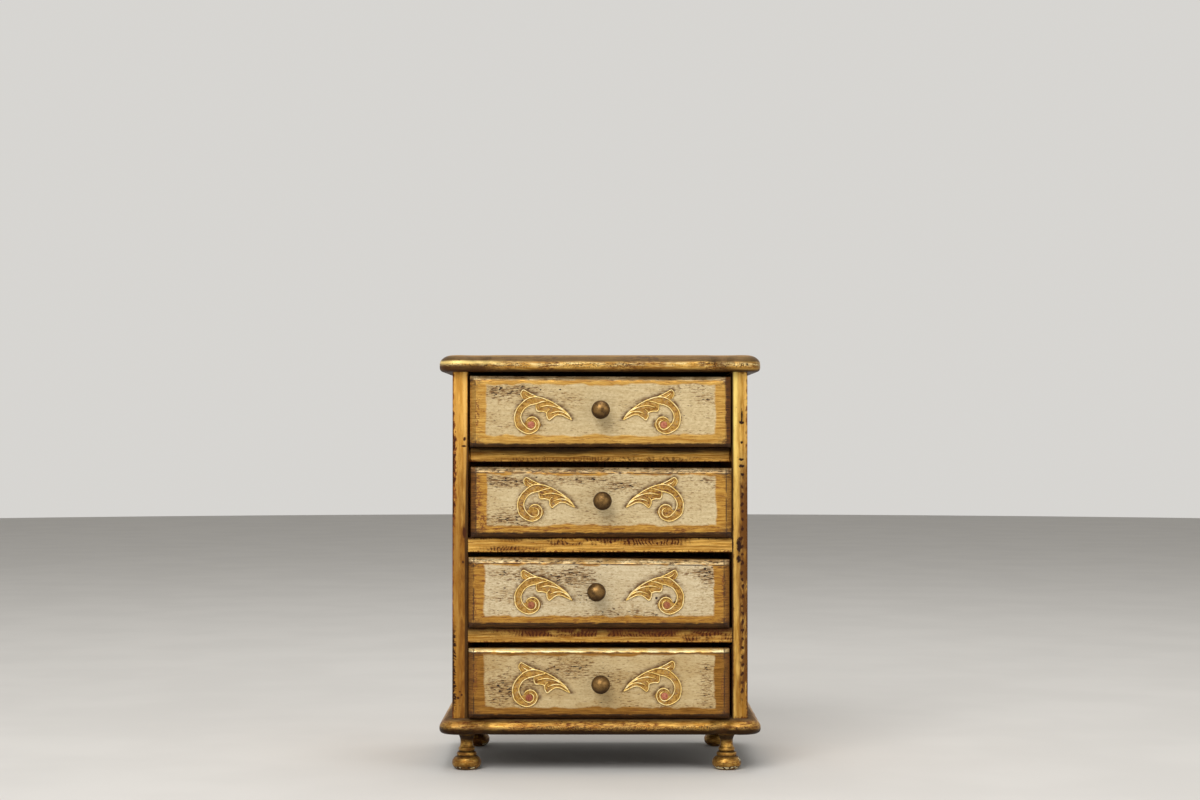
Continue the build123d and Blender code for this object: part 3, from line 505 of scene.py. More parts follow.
def rightStile(box, marks):
    # a painted highlight stripe and gleam along the inner edge, a dark line at the inner edge of
    # wax with the painted shade of the gap, a browned outer half with a row of dark spots down it,
    # single marks above
    middle = box[0].x + 5.9 * mm

    def worn(add, place):
        x, y, z = add("SeparateXYZ", [place]).outputs
        front = onFront(add, y)
        fromInside = add("Math", [x, box[0].x], "SUBTRACT")
        waver = patches(add, place, (5, 5, 18), 0.2, 0.8, 2, detail=3)
        shift = add("MapRange", [waver, 0, 1, -0.7 * mm, 0.7 * mm])
        across = add("Math", [fromInside, shift], "ADD")
        high = add("MapRange", [z, 150 * mm, 205 * mm, 0.1, 1])
        rubbedOff = patches(add, place, (2.2, 5, 12), 0.30, 0.56, 8, detail=5)
        rubbedOff = add("MapRange", [rubbedOff, 0, 1, 0.45, 1])
        high = times(add, high, rubbedOff)
        # painted highlight: stripe and gleam near the inner edge, stronger high up
        stripe = between(add, across, 0.6 * mm, 2.7 * mm, 0.7 * mm)
        gleam = add("MapRange", [across, 6.5 * mm, 2.0 * mm])
        low = add("MapRange", [z, 196 * mm, 168 * mm])
        foot = add("MapRange", [z, 36 * mm, 50 * mm])
        cloudy = patches(add, place, (1.8, 5, 8), 0.24, 0.54, 6, detail=5)
        outerHalf = add("MapRange", [across, 3.2 * mm, 4.8 * mm])
        rough = patches(add, place, (1.0, 5, 1.4), 0.2, 0.8, 9, detail=4)
        drift = patches(add, place, (9, 9, 9), 0.2, 0.8, 5, detail=2)
        swing = add("MapRange", [drift, 0, 1, -1.6 * mm, 1.6 * mm])
        cell = add("Math", [z, swing], "ADD")
        cell = add("Math", [cell, 5.0 * mm], "DIVIDE")
        cell = add("Math", [cell], "FRACT")
        cell = add("Math", [cell, 0.5], "SUBTRACT")
        cell = times(add, cell, 5.0 / 1.5)
        side = add("Math", [x, middle], "SUBTRACT")
        side = add("Math", [side, times(add, swing, 0.35)], "ADD")
        side = add("Math", [side, 1.05 * mm], "DIVIDE")
        away = add("Math", [times(add, cell, cell), times(add, side, side)], "ADD")
        away = add("Math", [away, rough], "ADD")
        row = add("MapRange", [away, 1.45, 0.75])
        height = between(add, z, 42 * mm, 172 * mm, 6 * mm)
        # dark inner edge: wax with painted shade of the gap
        gap = add("Math", [0.65 * mm, fromInside], "SUBTRACT")
        inside = add("MapRange", [gap, -0.3 * mm, 0.2 * mm])
        fromCorner = add("Math", [box[1].x, x], "SUBTRACT")
        gap = add("Math", [times(add, rough, 1.3 * mm), fromCorner], "SUBTRACT")
        rim = add("MapRange", [gap, 0, 0.3 * mm])
        return calmFlank(add, place, front) + [
            # painted highlight along the inner edge
            (times(add, gleam, high, front, 0.4), "FFD66C", 0.36, 0.6),
            (times(add, stripe, high, front, 0.92), "FFE280", 0.38, 0.3),
            (times(add, outerHalf, cloudy, low, foot, front, 0.95), "643C17", 0.45, 0.35),
            (times(add, row, height, front), "3A1D0C", 0.5, 0.1),
            (times(add, rim, low, front, 0.8), "4A2812", 0.5, 0.1),
            (times(add, inside, front, 0.9), "2C1A0C", 0.5, 0.1),
            (times(add, spotsAt(add, x, z, rough, marks), front), "2C160A", 0.5, 0.1)]
    return worn


def chippedFoot(add, place):
    # wax in the turned grooves, painted shade with wax on the neck under the base, and chips at
    # the bulb's rim that show pale gesso
    hollow = add("Attribute", attribute_name="hollow").outputs["Fac"]
    chip = add("Attribute", attribute_name="chip").outputs["Fac"]
    brown = patches(add, place, (4, 4, 3), 0.38, 0.6, 61, detail=5)
    soiled = add("Attribute", attribute_name="soiled").outputs["Fac"]
    brown = add("Math", [brown, soiled], "ADD")
    brown = add("Math", [brown, soiled], "MULTIPLY")
    rim = add("MapRange", [chip, 0.35, 0.5])
    bare = add("MapRange", [chip, 0.62, 0.72])
    return [(brown, "573110", 0.42, 0.5), (hollow, "22140A", 0.55, 0.1),
            (rim, "3A200D", 0.6, 0.0), (bare, "E2D2A6", 0.8, 0.0)]


def paintedGesso(name, panel):
    # Ivory distemper on gesso with a border of metal leaf, rubbed down along the grain: brown
    # shows through in thin level streaks and flecks, and wax lies in the side bevels and round
    # relief;
    # the top bevels carry paler leaf as a painted highlight, the foot bevels wax and painted
    # shade.
    finish, shader, add, place = newFinish(name)
    centre, half, seed = panel["centre"], panel["half"], panel["seed"]
    place = add("Mapping", {"Vector": place, "Location": [-c for c in centre]})
    x, y, z = add("SeparateXYZ", [place]).outputs

    # ivory, with long level brush marks
    longMarks = patches(add, place, (15, 9, 1.1), 0.32, 0.68, seed, detail=5, roughness=0.68)
    cloud = patches(add, place, (22, 9, 8), 0.40, 0.62, seed + 2, detail=3)
    speckle = patches(add, place, (1.5, 9, 1.0), 0.26, 0.74, seed + 4, detail=5, roughness=0.7)
    blend = add("Mix", [0.62, longMarks, speckle])
    ivory = add("Mix", [blend, panel["ivory"][0], panel["ivory"][1]], data_type="RGBA")
    cloudy = add("MapRange", [cloud, 0, 1, 0.35])
    tanned = add("MapRange", [x, -half[0], half[0], panel["tan"][0], panel["tan"][1]])
    tan = times(add, cloudy, tanned)
    fleckPlace = add("Attribute", attribute_name="flecks").outputs["Fac"]
    worn = add("Math", [cloud, 0.35], "MULTIPLY")
    worn = add("Math", [worn, fleckPlace], "ADD")

    def rubbedMarks(size, start, end, soft, number):
        spread = add("Mapping", {"Vector": place, "Scale": [1 / (s * mm) for s in size],
                                 "Location": (number, seed, number)})
        grain = add("TexNoise", {"Vector": spread, "Scale": 1, "Detail": 3.5, "Roughness": 0.58})
        limit = add("MapRange", [worn, 0, 1, start, end])
        over = add("Math", [grain, limit], "SUBTRACT")
        return add("MapRange", [over, 0, soft])

    faint = rubbedMarks((2.4, 9, 0.8), 0.57, 0.42, 0.12, 3.3)
    faint = add("Math", [faint, 0.7], "MULTIPLY")
    dashes = rubbedMarks((5.0, 9, 0.8), 0.66, 0.50, 0.05, 7.1)
    dashes = add("Math", [dashes, 0.9], "MULTIPLY")
    flecks = rubbedMarks((3.2, 9, 0.95), 0.72, 0.555, 0.025, 13.9)
    rough = patches(add, place, (0.8, 9, 0.8), 0.2, 0.8, 9, detail=3)
    dots = spotsAt(add, x, z, rough, panel["dots"])
    flecks = add("Math", [flecks, dots], "MAXIMUM")
    dirt = add("Attribute", attribute_name="nearRelief").outputs["Fac"]
    patchy = patches(add, place, (3.2, 9, 2.2), 0.25, 0.62, seed + 8, detail=4)
    dirt = add("Math", [dirt, patchy], "MULTIPLY")

    # the border's inner edge, painted freehand
    slow = patches(add, place, (13, 9, 13), 0.2, 0.8, seed + 10, detail=2)
    quick = patches(add, place, (1.3, 9, 0.45), 0.15, 0.85, seed + 12, detail=4)
    wobble = add("MapRange", [slow, 0, 1, -1.1 * mm, 1.1 * mm])
    fray = add("MapRange", [quick, 0, 1, -0.4 * mm, 0.4 * mm])
    left, right, top, bottom = [v * mm for v in panel["border"]]
    middleX, middleZ = (left - right) / 2, (bottom - top) / 2
    halfX, halfZ = half[0] - (left + right) / 2, half[1] - (top + bottom) / 2
    offX = add("Math", [x, middleX], "SUBTRACT")
    offZ = add("Math", [z, middleZ], "SUBTRACT")
    awayX = add("Math", [halfX, add("Math", [offX], "ABSOLUTE")], "SUBTRACT")
    awayZ = add("Math", [halfZ, add("Math", [offZ], "ABSOLUTE")], "SUBTRACT")
    awayX = add("Math", [awayX, fray], "ADD")
    awayX = add("Math", [awayX, times(add, wobble, 0.7)], "ADD")
    awayZ = add("Math", [awayZ, wobble], "ADD")
    inside = add("Math", [awayX, awayZ, 1.2 * mm], "SMOOTH_MIN")
    border = add("MapRange", [inside, 0.55 * mm, -0.45 * mm])

    # border leaf, brushed level on all four sides
    ragged = patches(add, place, (4, 9, 4), 0.2, 0.8, seed + 18, detail=5)
    levelBrush = patches(add, place, (11, 9, 0.6), 0.36, 0.64, seed + 14, detail=6, roughness=0.7)
    borderLeaf = add("Mix", [levelBrush, panel["leaf"][0], panel["leaf"][1]], data_type="RGBA")
    borderBrown = patches(add, place, (7, 9, 1.1), 0.55 - panel["worn"], 0.68 - panel["worn"],
                          seed + 16, detail=6, roughness=0.72)
    borderBrown = add("Math", [borderBrown, border], "MULTIPLY")
    cornerX = add("MapRange", [add("Math", [x], "ABSOLUTE"), half[0] - 9 * mm, half[0] - 3 * mm])
    cornerZ = add("MapRange", [add("Math", [z], "ABSOLUTE"), half[1] - 9 * mm, half[1] - 3 * mm])
    corner = add("Math", [cornerX, cornerZ], "MULTIPLY")
    scuffs = patches(add, place, (2.2, 9, 1.2), 0.42, 0.56, seed + 26, detail=5)
    crackle = patches(add, place, (1.0, 9, 0.9), 0.44, 0.60, seed + 30, detail=5)
    stain = times(add, spotsAt(add, x, z, ragged, panel["stains"]), crackle)
    corner = add("Math", [corner, scuffs], "MULTIPLY")

    # bevels: wax at the sides, wax and painted shade on the foot, leaf painted pale as a highlight
    # with scuffs on top, a dark line at each arris
    edgeLeft = add("Math", [x, half[0]], "ADD")
    edgeRight = add("Math", [half[0], x], "SUBTRACT")
    edgeTop = add("Math", [half[1], z], "SUBTRACT")
    edgeFoot = add("Math", [z, half[1]], "ADD")
    broken = patches(add, place, (6, 9, 6), 0.33, 0.52, seed + 20, detail=5)
    jag = add("MapRange", [ragged, 0, 1, -0.45 * mm, 0.5 * mm])
    bevel = frontShape["bevel"] * mm
    masks, arrises = [], []
    fall = (panel["lowered"][1] - panel["lowered"][0]) / 2 * mm / half[0]
    edgeTop = add("Math", [edgeTop, panel["trim"][0] * mm], "ADD")
    edgeTop = add("Math", [edgeTop, times(add, x, fall)], "SUBTRACT")
    edgeFoot = add("Math", [edgeFoot, panel["trim"][1] * mm], "ADD")
    for near, reach, most in ((edgeLeft, bevel, panel["sideWax"][0]),
                              (edgeRight, bevel, panel["sideWax"][1]),
                              (edgeFoot, bevel * 1.06, 0.95), (edgeTop, bevel * 0.95, 1.0)):
        jagged = add("Math", [near, jag], "ADD")
        masks.append(add("MapRange", [jagged, reach + 0.25 * mm, reach - 0.25 * mm, 0, most]))
        line = between(add, near, bevel * 0.97, bevel * 1.2, 0.18 * mm)
        arrises.append(add("Math", [line, broken], "MULTIPLY"))
    leftMask, rightMask, footMask, topMask = masks
    arris = arrises[0]
    for line in arrises[1:]:
        arris = add("Math", [arris, line], "MAXIMUM")
    arris = add("Math", [arris, panel["line"]], "MULTIPLY")
    topScuff = patches(add, place, (3.4, 9, 0.8), 0.5 + panel["topClean"],
                       0.6 + panel["topClean"], seed + 22, detail=6, roughness=0.7)
    topScuff = add("Math", [topScuff, topMask], "MULTIPLY")
    laps = patches(add, place, (6, 9, 40), 0.30, 0.62, seed + 28, detail=2)
    lapped = add("Math", [levelBrush, laps], "MULTIPLY")
    # topTone: leaf painted pale as a highlight on the upward top bevel
    topTone = add("Mix", [lapped, panel["topLeafHighlight"][0], panel["topLeafHighlight"][1]], data_type="RGBA")
    behind = add("MapRange", [y, 3.0 * mm, 3.4 * mm])
    calm = add("Mix", [levelBrush, "8A5E28", "BE8E46"], data_type="RGBA")
    sideTone = add("Mix", [levelBrush, "38200E", "7A4A1C"], data_type="RGBA")
    # footTone: wax and painted shade on the downward foot bevel
    footTone = add("Mix", [levelBrush, "1E1109", "4C2D13"], data_type="RGBA")
    sideMask = add("Math", [leftMask, rightMask], "MAXIMUM")
    layCoats(add, shader, [
        (None, ivory, 0.5, 0.0),
        (tan, "B2945F", 0.5, 0.0),
        (faint, "93703E", 0.55, 0.0),
        (dashes, "6A4720", 0.55, 0.0),
        (dirt, "5E3D17", 0.5, 0.0),
        (flecks, "2C190B", 0.6, 0.0),
        (border, borderLeaf, 0.36, 0.75),
        (borderBrown, "7E4B1B", 0.45, 0.3),
        (corner, "4A2A12", 0.5, 0.1),
        (times(add, stain, 0.85), "6E3817", 0.5, 0.2),
        (topMask, topTone, 0.34, 0.75),
        (topScuff, "4E3219", 0.5, 0.1),
        (times(add, topMask, behind, 0.92), calm, 0.42, 0.6),
        (sideMask, sideTone, 0.42, 0.35),
        # wax and painted shade on the foot bevel
        (footMask, footTone, 0.45, 0.25),
        (arris, "2E1B0D", 0.5, 0.1),
    ])
    grit = patches(add, place, (0.6, 9, 0.35), 0.2, 0.8, seed + 24, detail=5)
    height = add("Math", [grit, blend], "ADD")
    height = add("Math", [height, flecks], "SUBTRACT")
    height = add("Math", [height, border], "ADD")
    emboss(add, shader, height, 0.05)
    return finish


def giltGesso(name, face, soiled):
    # Gesso trailed on in ridges and gilded: the ridges are burnished pale with a painted highlight
    # along their crowns, the ground between them stays a softer gold with wax in the corners;
    # soiled is how much wax was left.
    finish, shader, add, place = newFinish(name)
    y = add("SeparateXYZ", [place]).outputs["Y"]
    risen = add("Math", [face, y], "SUBTRACT")
    uneven = patches(add, place, (1.4, 1.4, 1.4), 0.2, 0.8, 71, detail=4)
    lift = add("MapRange", [uneven, 0, 1, -0.1 * mm, 0.1 * mm])
    risen = add("Math", [risen, lift], "ADD")
    ridge = add("MapRange", [risen, 0.55 * mm, 0.85 * mm], interpolation_type="SMOOTHSTEP")
    # crown: painted highlight along the ridge tops
    crown = add("MapRange", [risen, 0.85 * mm, 1.05 * mm, 0, 0.9])
    foot = add("MapRange", [risen, 0.42 * mm, 0.25 * mm, 0, 0.95])
    normal = add("TexCoord").outputs["Normal"]
    outX, _, outZ = add("SeparateXYZ", [normal]).outputs
    x = add("SeparateXYZ", [place]).outputs["X"]
    side = add("Math", [x], "SIGN")
    outer = add("Math", [outX, side], "MULTIPLY")
    lean = add("Math", [outer, outZ], "SUBTRACT")
    cleaned = add("MapRange", [lean, -0.1, 0.45])
    footTone = add("Mix", [cleaned, "4E3114", "F6E8C4"], data_type="RGBA")
    upper = add("MapRange", [outZ, 0.35, 0.75, 0, 0.75])
    upper = add("Math", [upper, between(add, risen, 0.35 * mm, 0.72 * mm, 0.1 * mm)], "MULTIPLY")
    mottle = patches(add, place, (2.6, 2.6, 2.0), 0.30, 0.62, 73, detail=4)
    ground = add("Mix", [mottle, "A06E26", "D2A046"], data_type="RGBA")
    wax = patches(add, place, (2.4, 2.4, 1.2), 0.66 - 0.14 * soiled, 0.74 - 0.12 * soiled, 79,
                  detail=4)
    low = add("Math", [1.0, ridge], "SUBTRACT")
    besideRidge = between(add, risen, 0.44 * mm, 0.62 * mm, 0.06 * mm)
    layCoats(add, shader, [
        (None, ground, 0.45, 0.45),
        (times(add, besideRidge, 0.85), "5C3A0E", 0.5, 0.3),
        (times(add, wax, low, 0.9), "5A2A0C", 0.6, 0.1),
        (ridge, "F2CC74", 0.36, 0.4),
        # painted highlight on the ridge crowns
        (crown, "FFF0BC", 0.42, 0.1),
        (upper, "6F4C14", 0.5, 0.3),
        (foot, footTone, 0.5, 0.05),
    ])
    grit = patches(add, place, (0.5, 0.5, 0.5), 0.2, 0.8, 83, detail=4)
    emboss(add, shader, grit, 0.03)
    return finish


def dotPaint(name, colour, shade):
    # a brushed-on dot of distemper in the eye of a volute: matt, a little uneven
    finish, shader, add, place = newFinish(name)
    uneven = patches(add, place, (0.9, 0.9, 0.9), 0.3, 0.7, 91, detail=4)
    tone = add("Mix", [uneven, colour, shade], data_type="RGBA")
    layCoats(add, shader, [(None, tone, 0.6, 0.0), (uneven, tone, 0.7, 0.0)])
    emboss(add, shader, uneven, 0.04)
    return finish


def agedBrass(name, unrubbed):
    # Turned brass left to brown: a dull olive-brown skin, rubbed to warm metal where hands touch,
    # with fine level tool marks, and painted shade on the faces that turn downward.
    finish, shader, add, place = newFinish(name)
    skin = patches(add, place, (3.5, 3.5, 3.5), 0.3, 0.7, 101, detail=5)
    spots = patches(add, place, (0.8, 0.8, 0.8), 0.58, 0.68, 103, detail=3)
    tone = add("Mix", [skin, "5A4224", "9A7644"], data_type="RGBA")
    _, facing, upward = add("SeparateXYZ", [add("TexCoord").outputs["Normal"]]).outputs
    # below: painted shade on the downward faces
    below = add("MapRange", [upward, 0.05, -0.75, 0, 0.8])
    away = add("MapRange", [facing, -0.8, -0.25, 0, unrubbed])
    layCoats(add, shader, [(None, tone, 0.42, 0.85), (away, "34210F", 0.55, 0.55),
                           (below, "2C1C0E", 0.55, 0.5),
                           (spots, "3E2A16", 0.55, 0.4)])
    marks = patches(add, place, (0.6, 0.6, 0.6), 0.2, 0.8, 107, detail=5)
    emboss(add, shader, marks, 0.025)
    return finish


def bareSpruce(name, along, seed):
    # Planed spruce, never varnished: pale straw with darker late wood every 2 mm or so.
    finish, shader, add, place = newFinish(name)
    stretch = [2.2, 2.2, 2.2]
    stretch[along] = 160
    rings = patches(add, place, stretch, 0.38, 0.66, seed, detail=2, roughness=0.4)
    fibre = patches(add, place, [0.35 if s < 3 else 12 for s in stretch], 0.2, 0.8, seed + 1,
                    detail=5)
    tone = add("Mix", [rings, "D9B27C", "AE7C45"], data_type="RGBA")
    darker = add("Math", [fibre, 0.35], "MULTIPLY")
    handled = patches(add, place, (20, 20, 12), 0.5, 0.75, seed + 2, detail=4)
    handled = add("Math", [handled, 0.5], "MULTIPLY")
    layCoats(add, shader, [(None, tone, 0.6, 0.0), (darker, "8E6236", 0.65, 0.0),
                           (handled, "7A5330", 0.6, 0.0)])
    emboss(add, shader, add("Math", [fibre, rings], "SUBTRACT"), 0.04)
    return finish


def stainedPlywood(name, seed):
    # Thin rotary-cut plywood under brown stain: wide wandering grain and short open pores.
    finish, shader, add, place = newFinish(name)
    figure = patches(add, place, (9, 30, 120), 0.3, 0.7, seed, detail=6, roughness=0.6)
    pores = patches(add, place, (0.5, 0.5, 6), 0.58, 0.66, seed + 1, detail=3)
    blotch = patches(add, place, (34, 34, 34), 0.35, 0.7, seed + 2, detail=3)
    tone = add("Mix", [figure, "8A6038", "B08452"], data_type="RGBA")
    blotch = add("Math", [blotch, 0.4], "MULTIPLY")
    layCoats(add, shader, [(None, tone, 0.55, 0.0), (blotch, "6B4526", 0.6, 0.0),
                           (pores, "4A2E18", 0.7, 0.0)])
    emboss(add, shader, add("Math", [figure, pores], "SUBTRACT"), 0.05)
    return finish


def woolFelt(name):
    # Pressed wool felt, dyed deep red: matted fibres, a soft sheen and a little lint.
    finish, shader, add, place = newFinish(name)
    fibres = patches(add, place, (0.7, 0.25, 0.7), 0.2, 0.8, 121, detail=6, roughness=0.75)
    crossed = patches(add, place, (0.25, 0.7, 0.7), 0.2, 0.8, 123, detail=6, roughness=0.75)
    mat = add("Math", [fibres, crossed], "MULTIPLY")
    lint = patches(add, place, (0.5, 1.6, 0.5), 0.68, 0.74, 127, detail=3)
    tone = add("Mix", [mat, "4A0C14", "8C1F2B"], data_type="RGBA")
    layCoats(add, shader, [(None, tone, 0.95, 0.0), (lint, "A86A66", 0.95, 0.0)])
    shader.inputs["Sheen Weight"].default_value = 0.4
    shader.inputs["Sheen Roughness"].default_value = 0.5
    emboss(add, shader, mat, 0.15)
    return finish


def workedMetal(name, light, dark, rough, grain, seed, depth=0.01):
    # Machined or cast movement metal: fine tool marks or casting grit, a few darker stains.
    finish, shader, add, place = newFinish(name)
    marks = patches(add, place, grain, 0.25, 0.75, seed, detail=5, roughness=0.65)
    stain = patches(add, place, (6, 6, 6), 0.5, 0.75, seed + 1, detail=4)
    stain = add("Math", [stain, 0.5], "MULTIPLY")
    tone = add("Mix", [marks, light, dark], data_type="RGBA")
    layCoats(add, shader, [(None, tone, rough, 1.0), (stain, dark, rough + 0.15, 0.9)])
    emboss(add, shader, marks, depth)
    return finish


topBox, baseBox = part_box("top_board"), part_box("base_board")
leafTop = metalLeaf("metalLeafOnMouldedTop", 1, (12, 12, 0.9), rub=0.0, wax=0.02,
                    extra=waxAndShadeBands(topBox, (0.46, 0.66), (0.30, 0.02), ("523F28", "2A1809"), 0.3,
                                    0.6, lit=1.0))
leafBase = metalLeaf("metalLeafOnMouldedBase", 31, (8, 8, 1.1), rub=0.02, wax=0.03, dust=0.94,
                     shade=0.2, extra=waxAndShadeBands(baseBox, (0.80, 0.98), (0.56, 0.24),
                                                 ("4A3018", "221106"), 0.5, 0.1))
leftBox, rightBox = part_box("left_side"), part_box("right_side")
stileMarks = {                                     # place and half sizes of the dark marks, in mm
    "left": [(-80.4, 191.3, 1.5, 0.6), (-79.8, 195.4, 1.0, 1.5), (-80.0, 140.0, 1.2, 5.0),
             (-80.8, 123.0, 0.8, 0.9), (-83.6, 43.0, 0.8, 0.8), (-81.5, 44.8, 0.6, 0.7),
             (-82.6, 46.6, 0.6, 0.6)],
    "right": [(83.7, 209.0, 0.6, 4.8), (83.5, 205.3, 1.6, 1.1), (83.4, 183.4, 1.6, 0.9),
              (83.6, 193.5, 0.8, 0.9), (83.3, 179.6, 2.0, 1.1), (84.0, 174.6, 1.2, 1.0),
              (81.9, 133.2, 1.6, 5.2), (81.7, 124.6, 1.4, 2.2)],
}
leafLeft = metalLeaf("metalLeafOnLeftSide", 51, (2.4, 2.6, 22), rub=-0.04, wax=-0.01, box=leftBox,
                     extra=leftStile(leftBox, stileMarks["left"]))
leafRight = metalLeaf("metalLeafOnRightSide", 71, (2.4, 2.6, 22), rub=-0.04, wax=0.0, box=rightBox,
                      extra=rightStile(rightBox, stileMarks["right"]))
# a rail's spans of ticks, the painted shadow under its upper edge, its painted shade and how
# browned it is
railMarks = [
    ([(-32, 26, 0.08, 0.30, 0.65), (22, 34, 0.05, 0.34, 0.7)], (0.36, 0.92), 0.0, 0.35),
    ([(6, 44, 0.50, 0.98, 1.2), (-52, 16, 0.12, 0.40, 1.1), (-50, 13, 0.74, 0.92, 0.6)],
     (0.74, 1.06), 0.0, 0.5),
    ([(14, 62, 0.42, 0.98, 1.4), (62, 18, 0.10, 0.36, 1.1), (-50, 20, 0.68, 0.94, 0.8)],
     (0.30, 1.1), 0.12, 0.7),
]
leafRails = []
for n, (spans, shadowUnderEdge, shade, browned) in enumerate(railMarks):
    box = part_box(f"divider_{n + 1}")
    leafRails.append(metalLeaf(f"metalLeafOnRail{n + 1}", 91 + 7 * n, (16, 9, 0.8), rub=0.01 * n,
                               wax=0.0, box=box, shade=shade,
                               extra=tickRows(box, 11 + n, spans, shadowUnderEdge, browned)))
leafFeet = metalLeaf("metalLeafOnTurnedFeet", 131, (3, 3, 1.0), rub=0.05, wax=0.03, shade=0.12,
                     extra=chippedFoot)
brassSkin = agedBrass("agedTurnedBrass", 0.85)
keySkin = agedBrass("agedStampedBrass", 0.0)
spruceAcross = bareSpruce("planedSpruceAcross", 0, 141)
spruceAlong = bareSpruce("planedSpruceAlong", 1, 143)
plywood = stainedPlywood("stainedPlywood", 151)
felt = woolFelt("pressedWoolFelt")
brass = workedMetal("turnedBrass", "D8B066", "A67C35", 0.3, (1.5, 1.5, 0.2), 161)
steel = workedMetal("groundSteel", "C9CACB", "8E9092", 0.3, (0.3, 2.5, 2.5), 163)
springSteel = workedMetal("bluedSpringSteel", "5A6478", "2C3444", 0.35, (3, 0.4, 3), 167)
steelHead = workedMetal("tarnishedSteelHeads", "A9A49A", "6A5F52", 0.4, (1.2, 1.2, 1.2), 165)
zinc = workedMetal("castZincAlloy", "A9ABAE", "74777B", 0.5, (0.7, 0.7, 0.7), 169, 0.05)
print("finishes made")


# Moulded boards

moulding = {
    "lobeRadius": 12, "recessRadius": 6, "shoulderRadius": 8, "lobeTurn": 40,
    "upperReach": 7.8, "upperRise": 5.5, "upperSteps": 12, "lowerRound": 2.5, "lowerSteps": 5,
    "step": 1.4, "wear": 0.14, "wearCell": 9, "shadeAndWaxInHollow": 0.55,
}


def boardPlan(low, high):                          # points round a board: place, outward, hollow
    lobeR, recessR = moulding["lobeRadius"] * mm, moulding["recessRadius"] * mm
    shoulderR, turn = moulding["shoulderRadius"] * mm, math.radians(moulding["lobeTurn"])
    step = moulding["step"] * mm
    lobe = Vector((high.x - lobeR, low.y + lobeR))
    recess = lobe + (lobeR + recessR) * Vector((math.cos(-math.pi / 2 - turn),
                                                math.sin(-math.pi / 2 - turn)))
    shoulder = recess + (recessR + shoulderR) * Vector((math.cos(math.pi / 2 + turn),
                                                        math.sin(math.pi / 2 + turn)))
    half = []

    def straight(a, b, outward):
        count = max(1, round((b - a).length / step))
        half.extend((a.lerp(b, k / count), outward, 0.0) for k in range(count))

    def arc(middle, radius, start, end, side=1, hollow=0.0):
        count = max(4, round(abs(end - start) * radius / (0.6 * step)))
        for k in range(count):
            a = start + (end - start) * k / count
            ray = Vector((math.cos(a), math.sin(a)))
            deep = hollow * math.sin(math.pi * k / count)
            half.append((middle + radius * ray, ray * side, deep))

    down = Vector((0, -1))
    straight(Vector((0, shoulder.y - shoulderR)), shoulder - Vector((0, shoulderR)), down)
    arc(shoulder, shoulderR, -math.pi / 2, -math.pi / 2 + turn)
    arc(recess, recessR, math.pi / 2 + turn, math.pi / 2 - turn, side=-1, hollow=1.0)
    arc(lobe, lobeR, -math.pi / 2 - turn, 0)
    straight(Vector((high.x, lobe.y)), Vector((high.x, high.y - lobeR)), Vector((1, 0)))
    arc(Vector((lobe.x, high.y - lobeR)), lobeR, 0, math.pi / 2)
    straight(Vector((lobe.x, high.y)), Vector((0, high.y)), Vector((0, 1)))
    half.append((Vector((0, high.y)), Vector((0, 1)), 0.0))
    flip = [(Vector((-p.x, p.y)), Vector((-d.x, d.y)), h) for p, d, h in reversed(half[1:-1])]
    return half + flip


def mouldedBoard(name, node, seed):
    low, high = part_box(node)
    thick = high.z - low.z
    reach, rise, under = (moulding[k] * mm for k in ("upperReach", "upperRise", "lowerRound"))
    profile = [(under * (1 - math.sin(t)), under * (1 - math.cos(t)))
               for t in quarterTurn(moulding["lowerSteps"])]
    profile += [(reach * (1 - math.cos(t)), thick - rise + rise * math.sin(t))
                for t in quarterTurn(moulding["upperSteps"])]
    plan = boardPlan(low, high)
    shape = bmesh.new()
    hollowLayer = shape.verts.layers.float.new("hollow")
    rings = []
    for inset, rises in profile:
        ring = []
        for point, outward, deep in plan:
            sample = Vector((point.x, point.y, low.z + rises))
            wear = 0 if rises in (0, thick) else moulding["wear"] * mm
            worn = wear * (1 + unevenAt(sample, moulding["wearCell"], (seed, 0, 0)))
            spot = point - outward * (inset + worn)
            vertex = shape.verts.new((spot.x, spot.y, low.z + rises))
            share = rises / thick
            # the recess is darker in its lower part: painted shade with wax
            vertex[hollowLayer] = deep * (1 - softStep(share, 0.35, 0.9)) * moulding["shadeAndWaxInHollow"]
            ring.append(vertex)
        rings.append(ring)
    for below, above in zip(rings, rings[1:]):
        bridge(shape, below, above)
    shape.faces.new(list(reversed(rings[0])))
    shape.faces.new(rings[-1])
    bmesh.ops.recalc_face_normals(shape, faces=shape.faces)
    bmesh.ops.triangulate(shape, faces=[f for f in shape.faces if len(f.verts) > 4])
    return asPiece(shape, name)


for name, node, finish, seed in (("topBoardMoulded", "top_board", leafTop, 3),
                                 ("baseBoardMoulded", "base_board", leafBase, 8)):
    join(mouldedBoard(name, node, seed), "carcass", "gilt_wood", [finish], node)
print("boards made")


# Turned feet

foot = {
    "sole": 5.8, "bulb": 8.7, "bulbWidest": 4.4, "groove": 5.9, "bulbHeight": 8.0,
    "bead": 6.0, "beadHeight": 2.7, "collar": 4.5, "collarHeight": 2.6, "neck": 3.8,
    "neckHeight": 15.6, "top": 6.1, "height": 22.0, "dowel": 2.5, "dowelLength": 7.0, "turns": 96,
    "grooveWax": (0.15, 0.75), "neckShadeAndWax": (15.2, 18.6), "neckShadeFades": (19.5, 21.5),
    "soleChips": (1.5, 1.0), "bulbChips": (5.6, 1.9), "chipDepth": 0.35, "wear": 0.07,
}


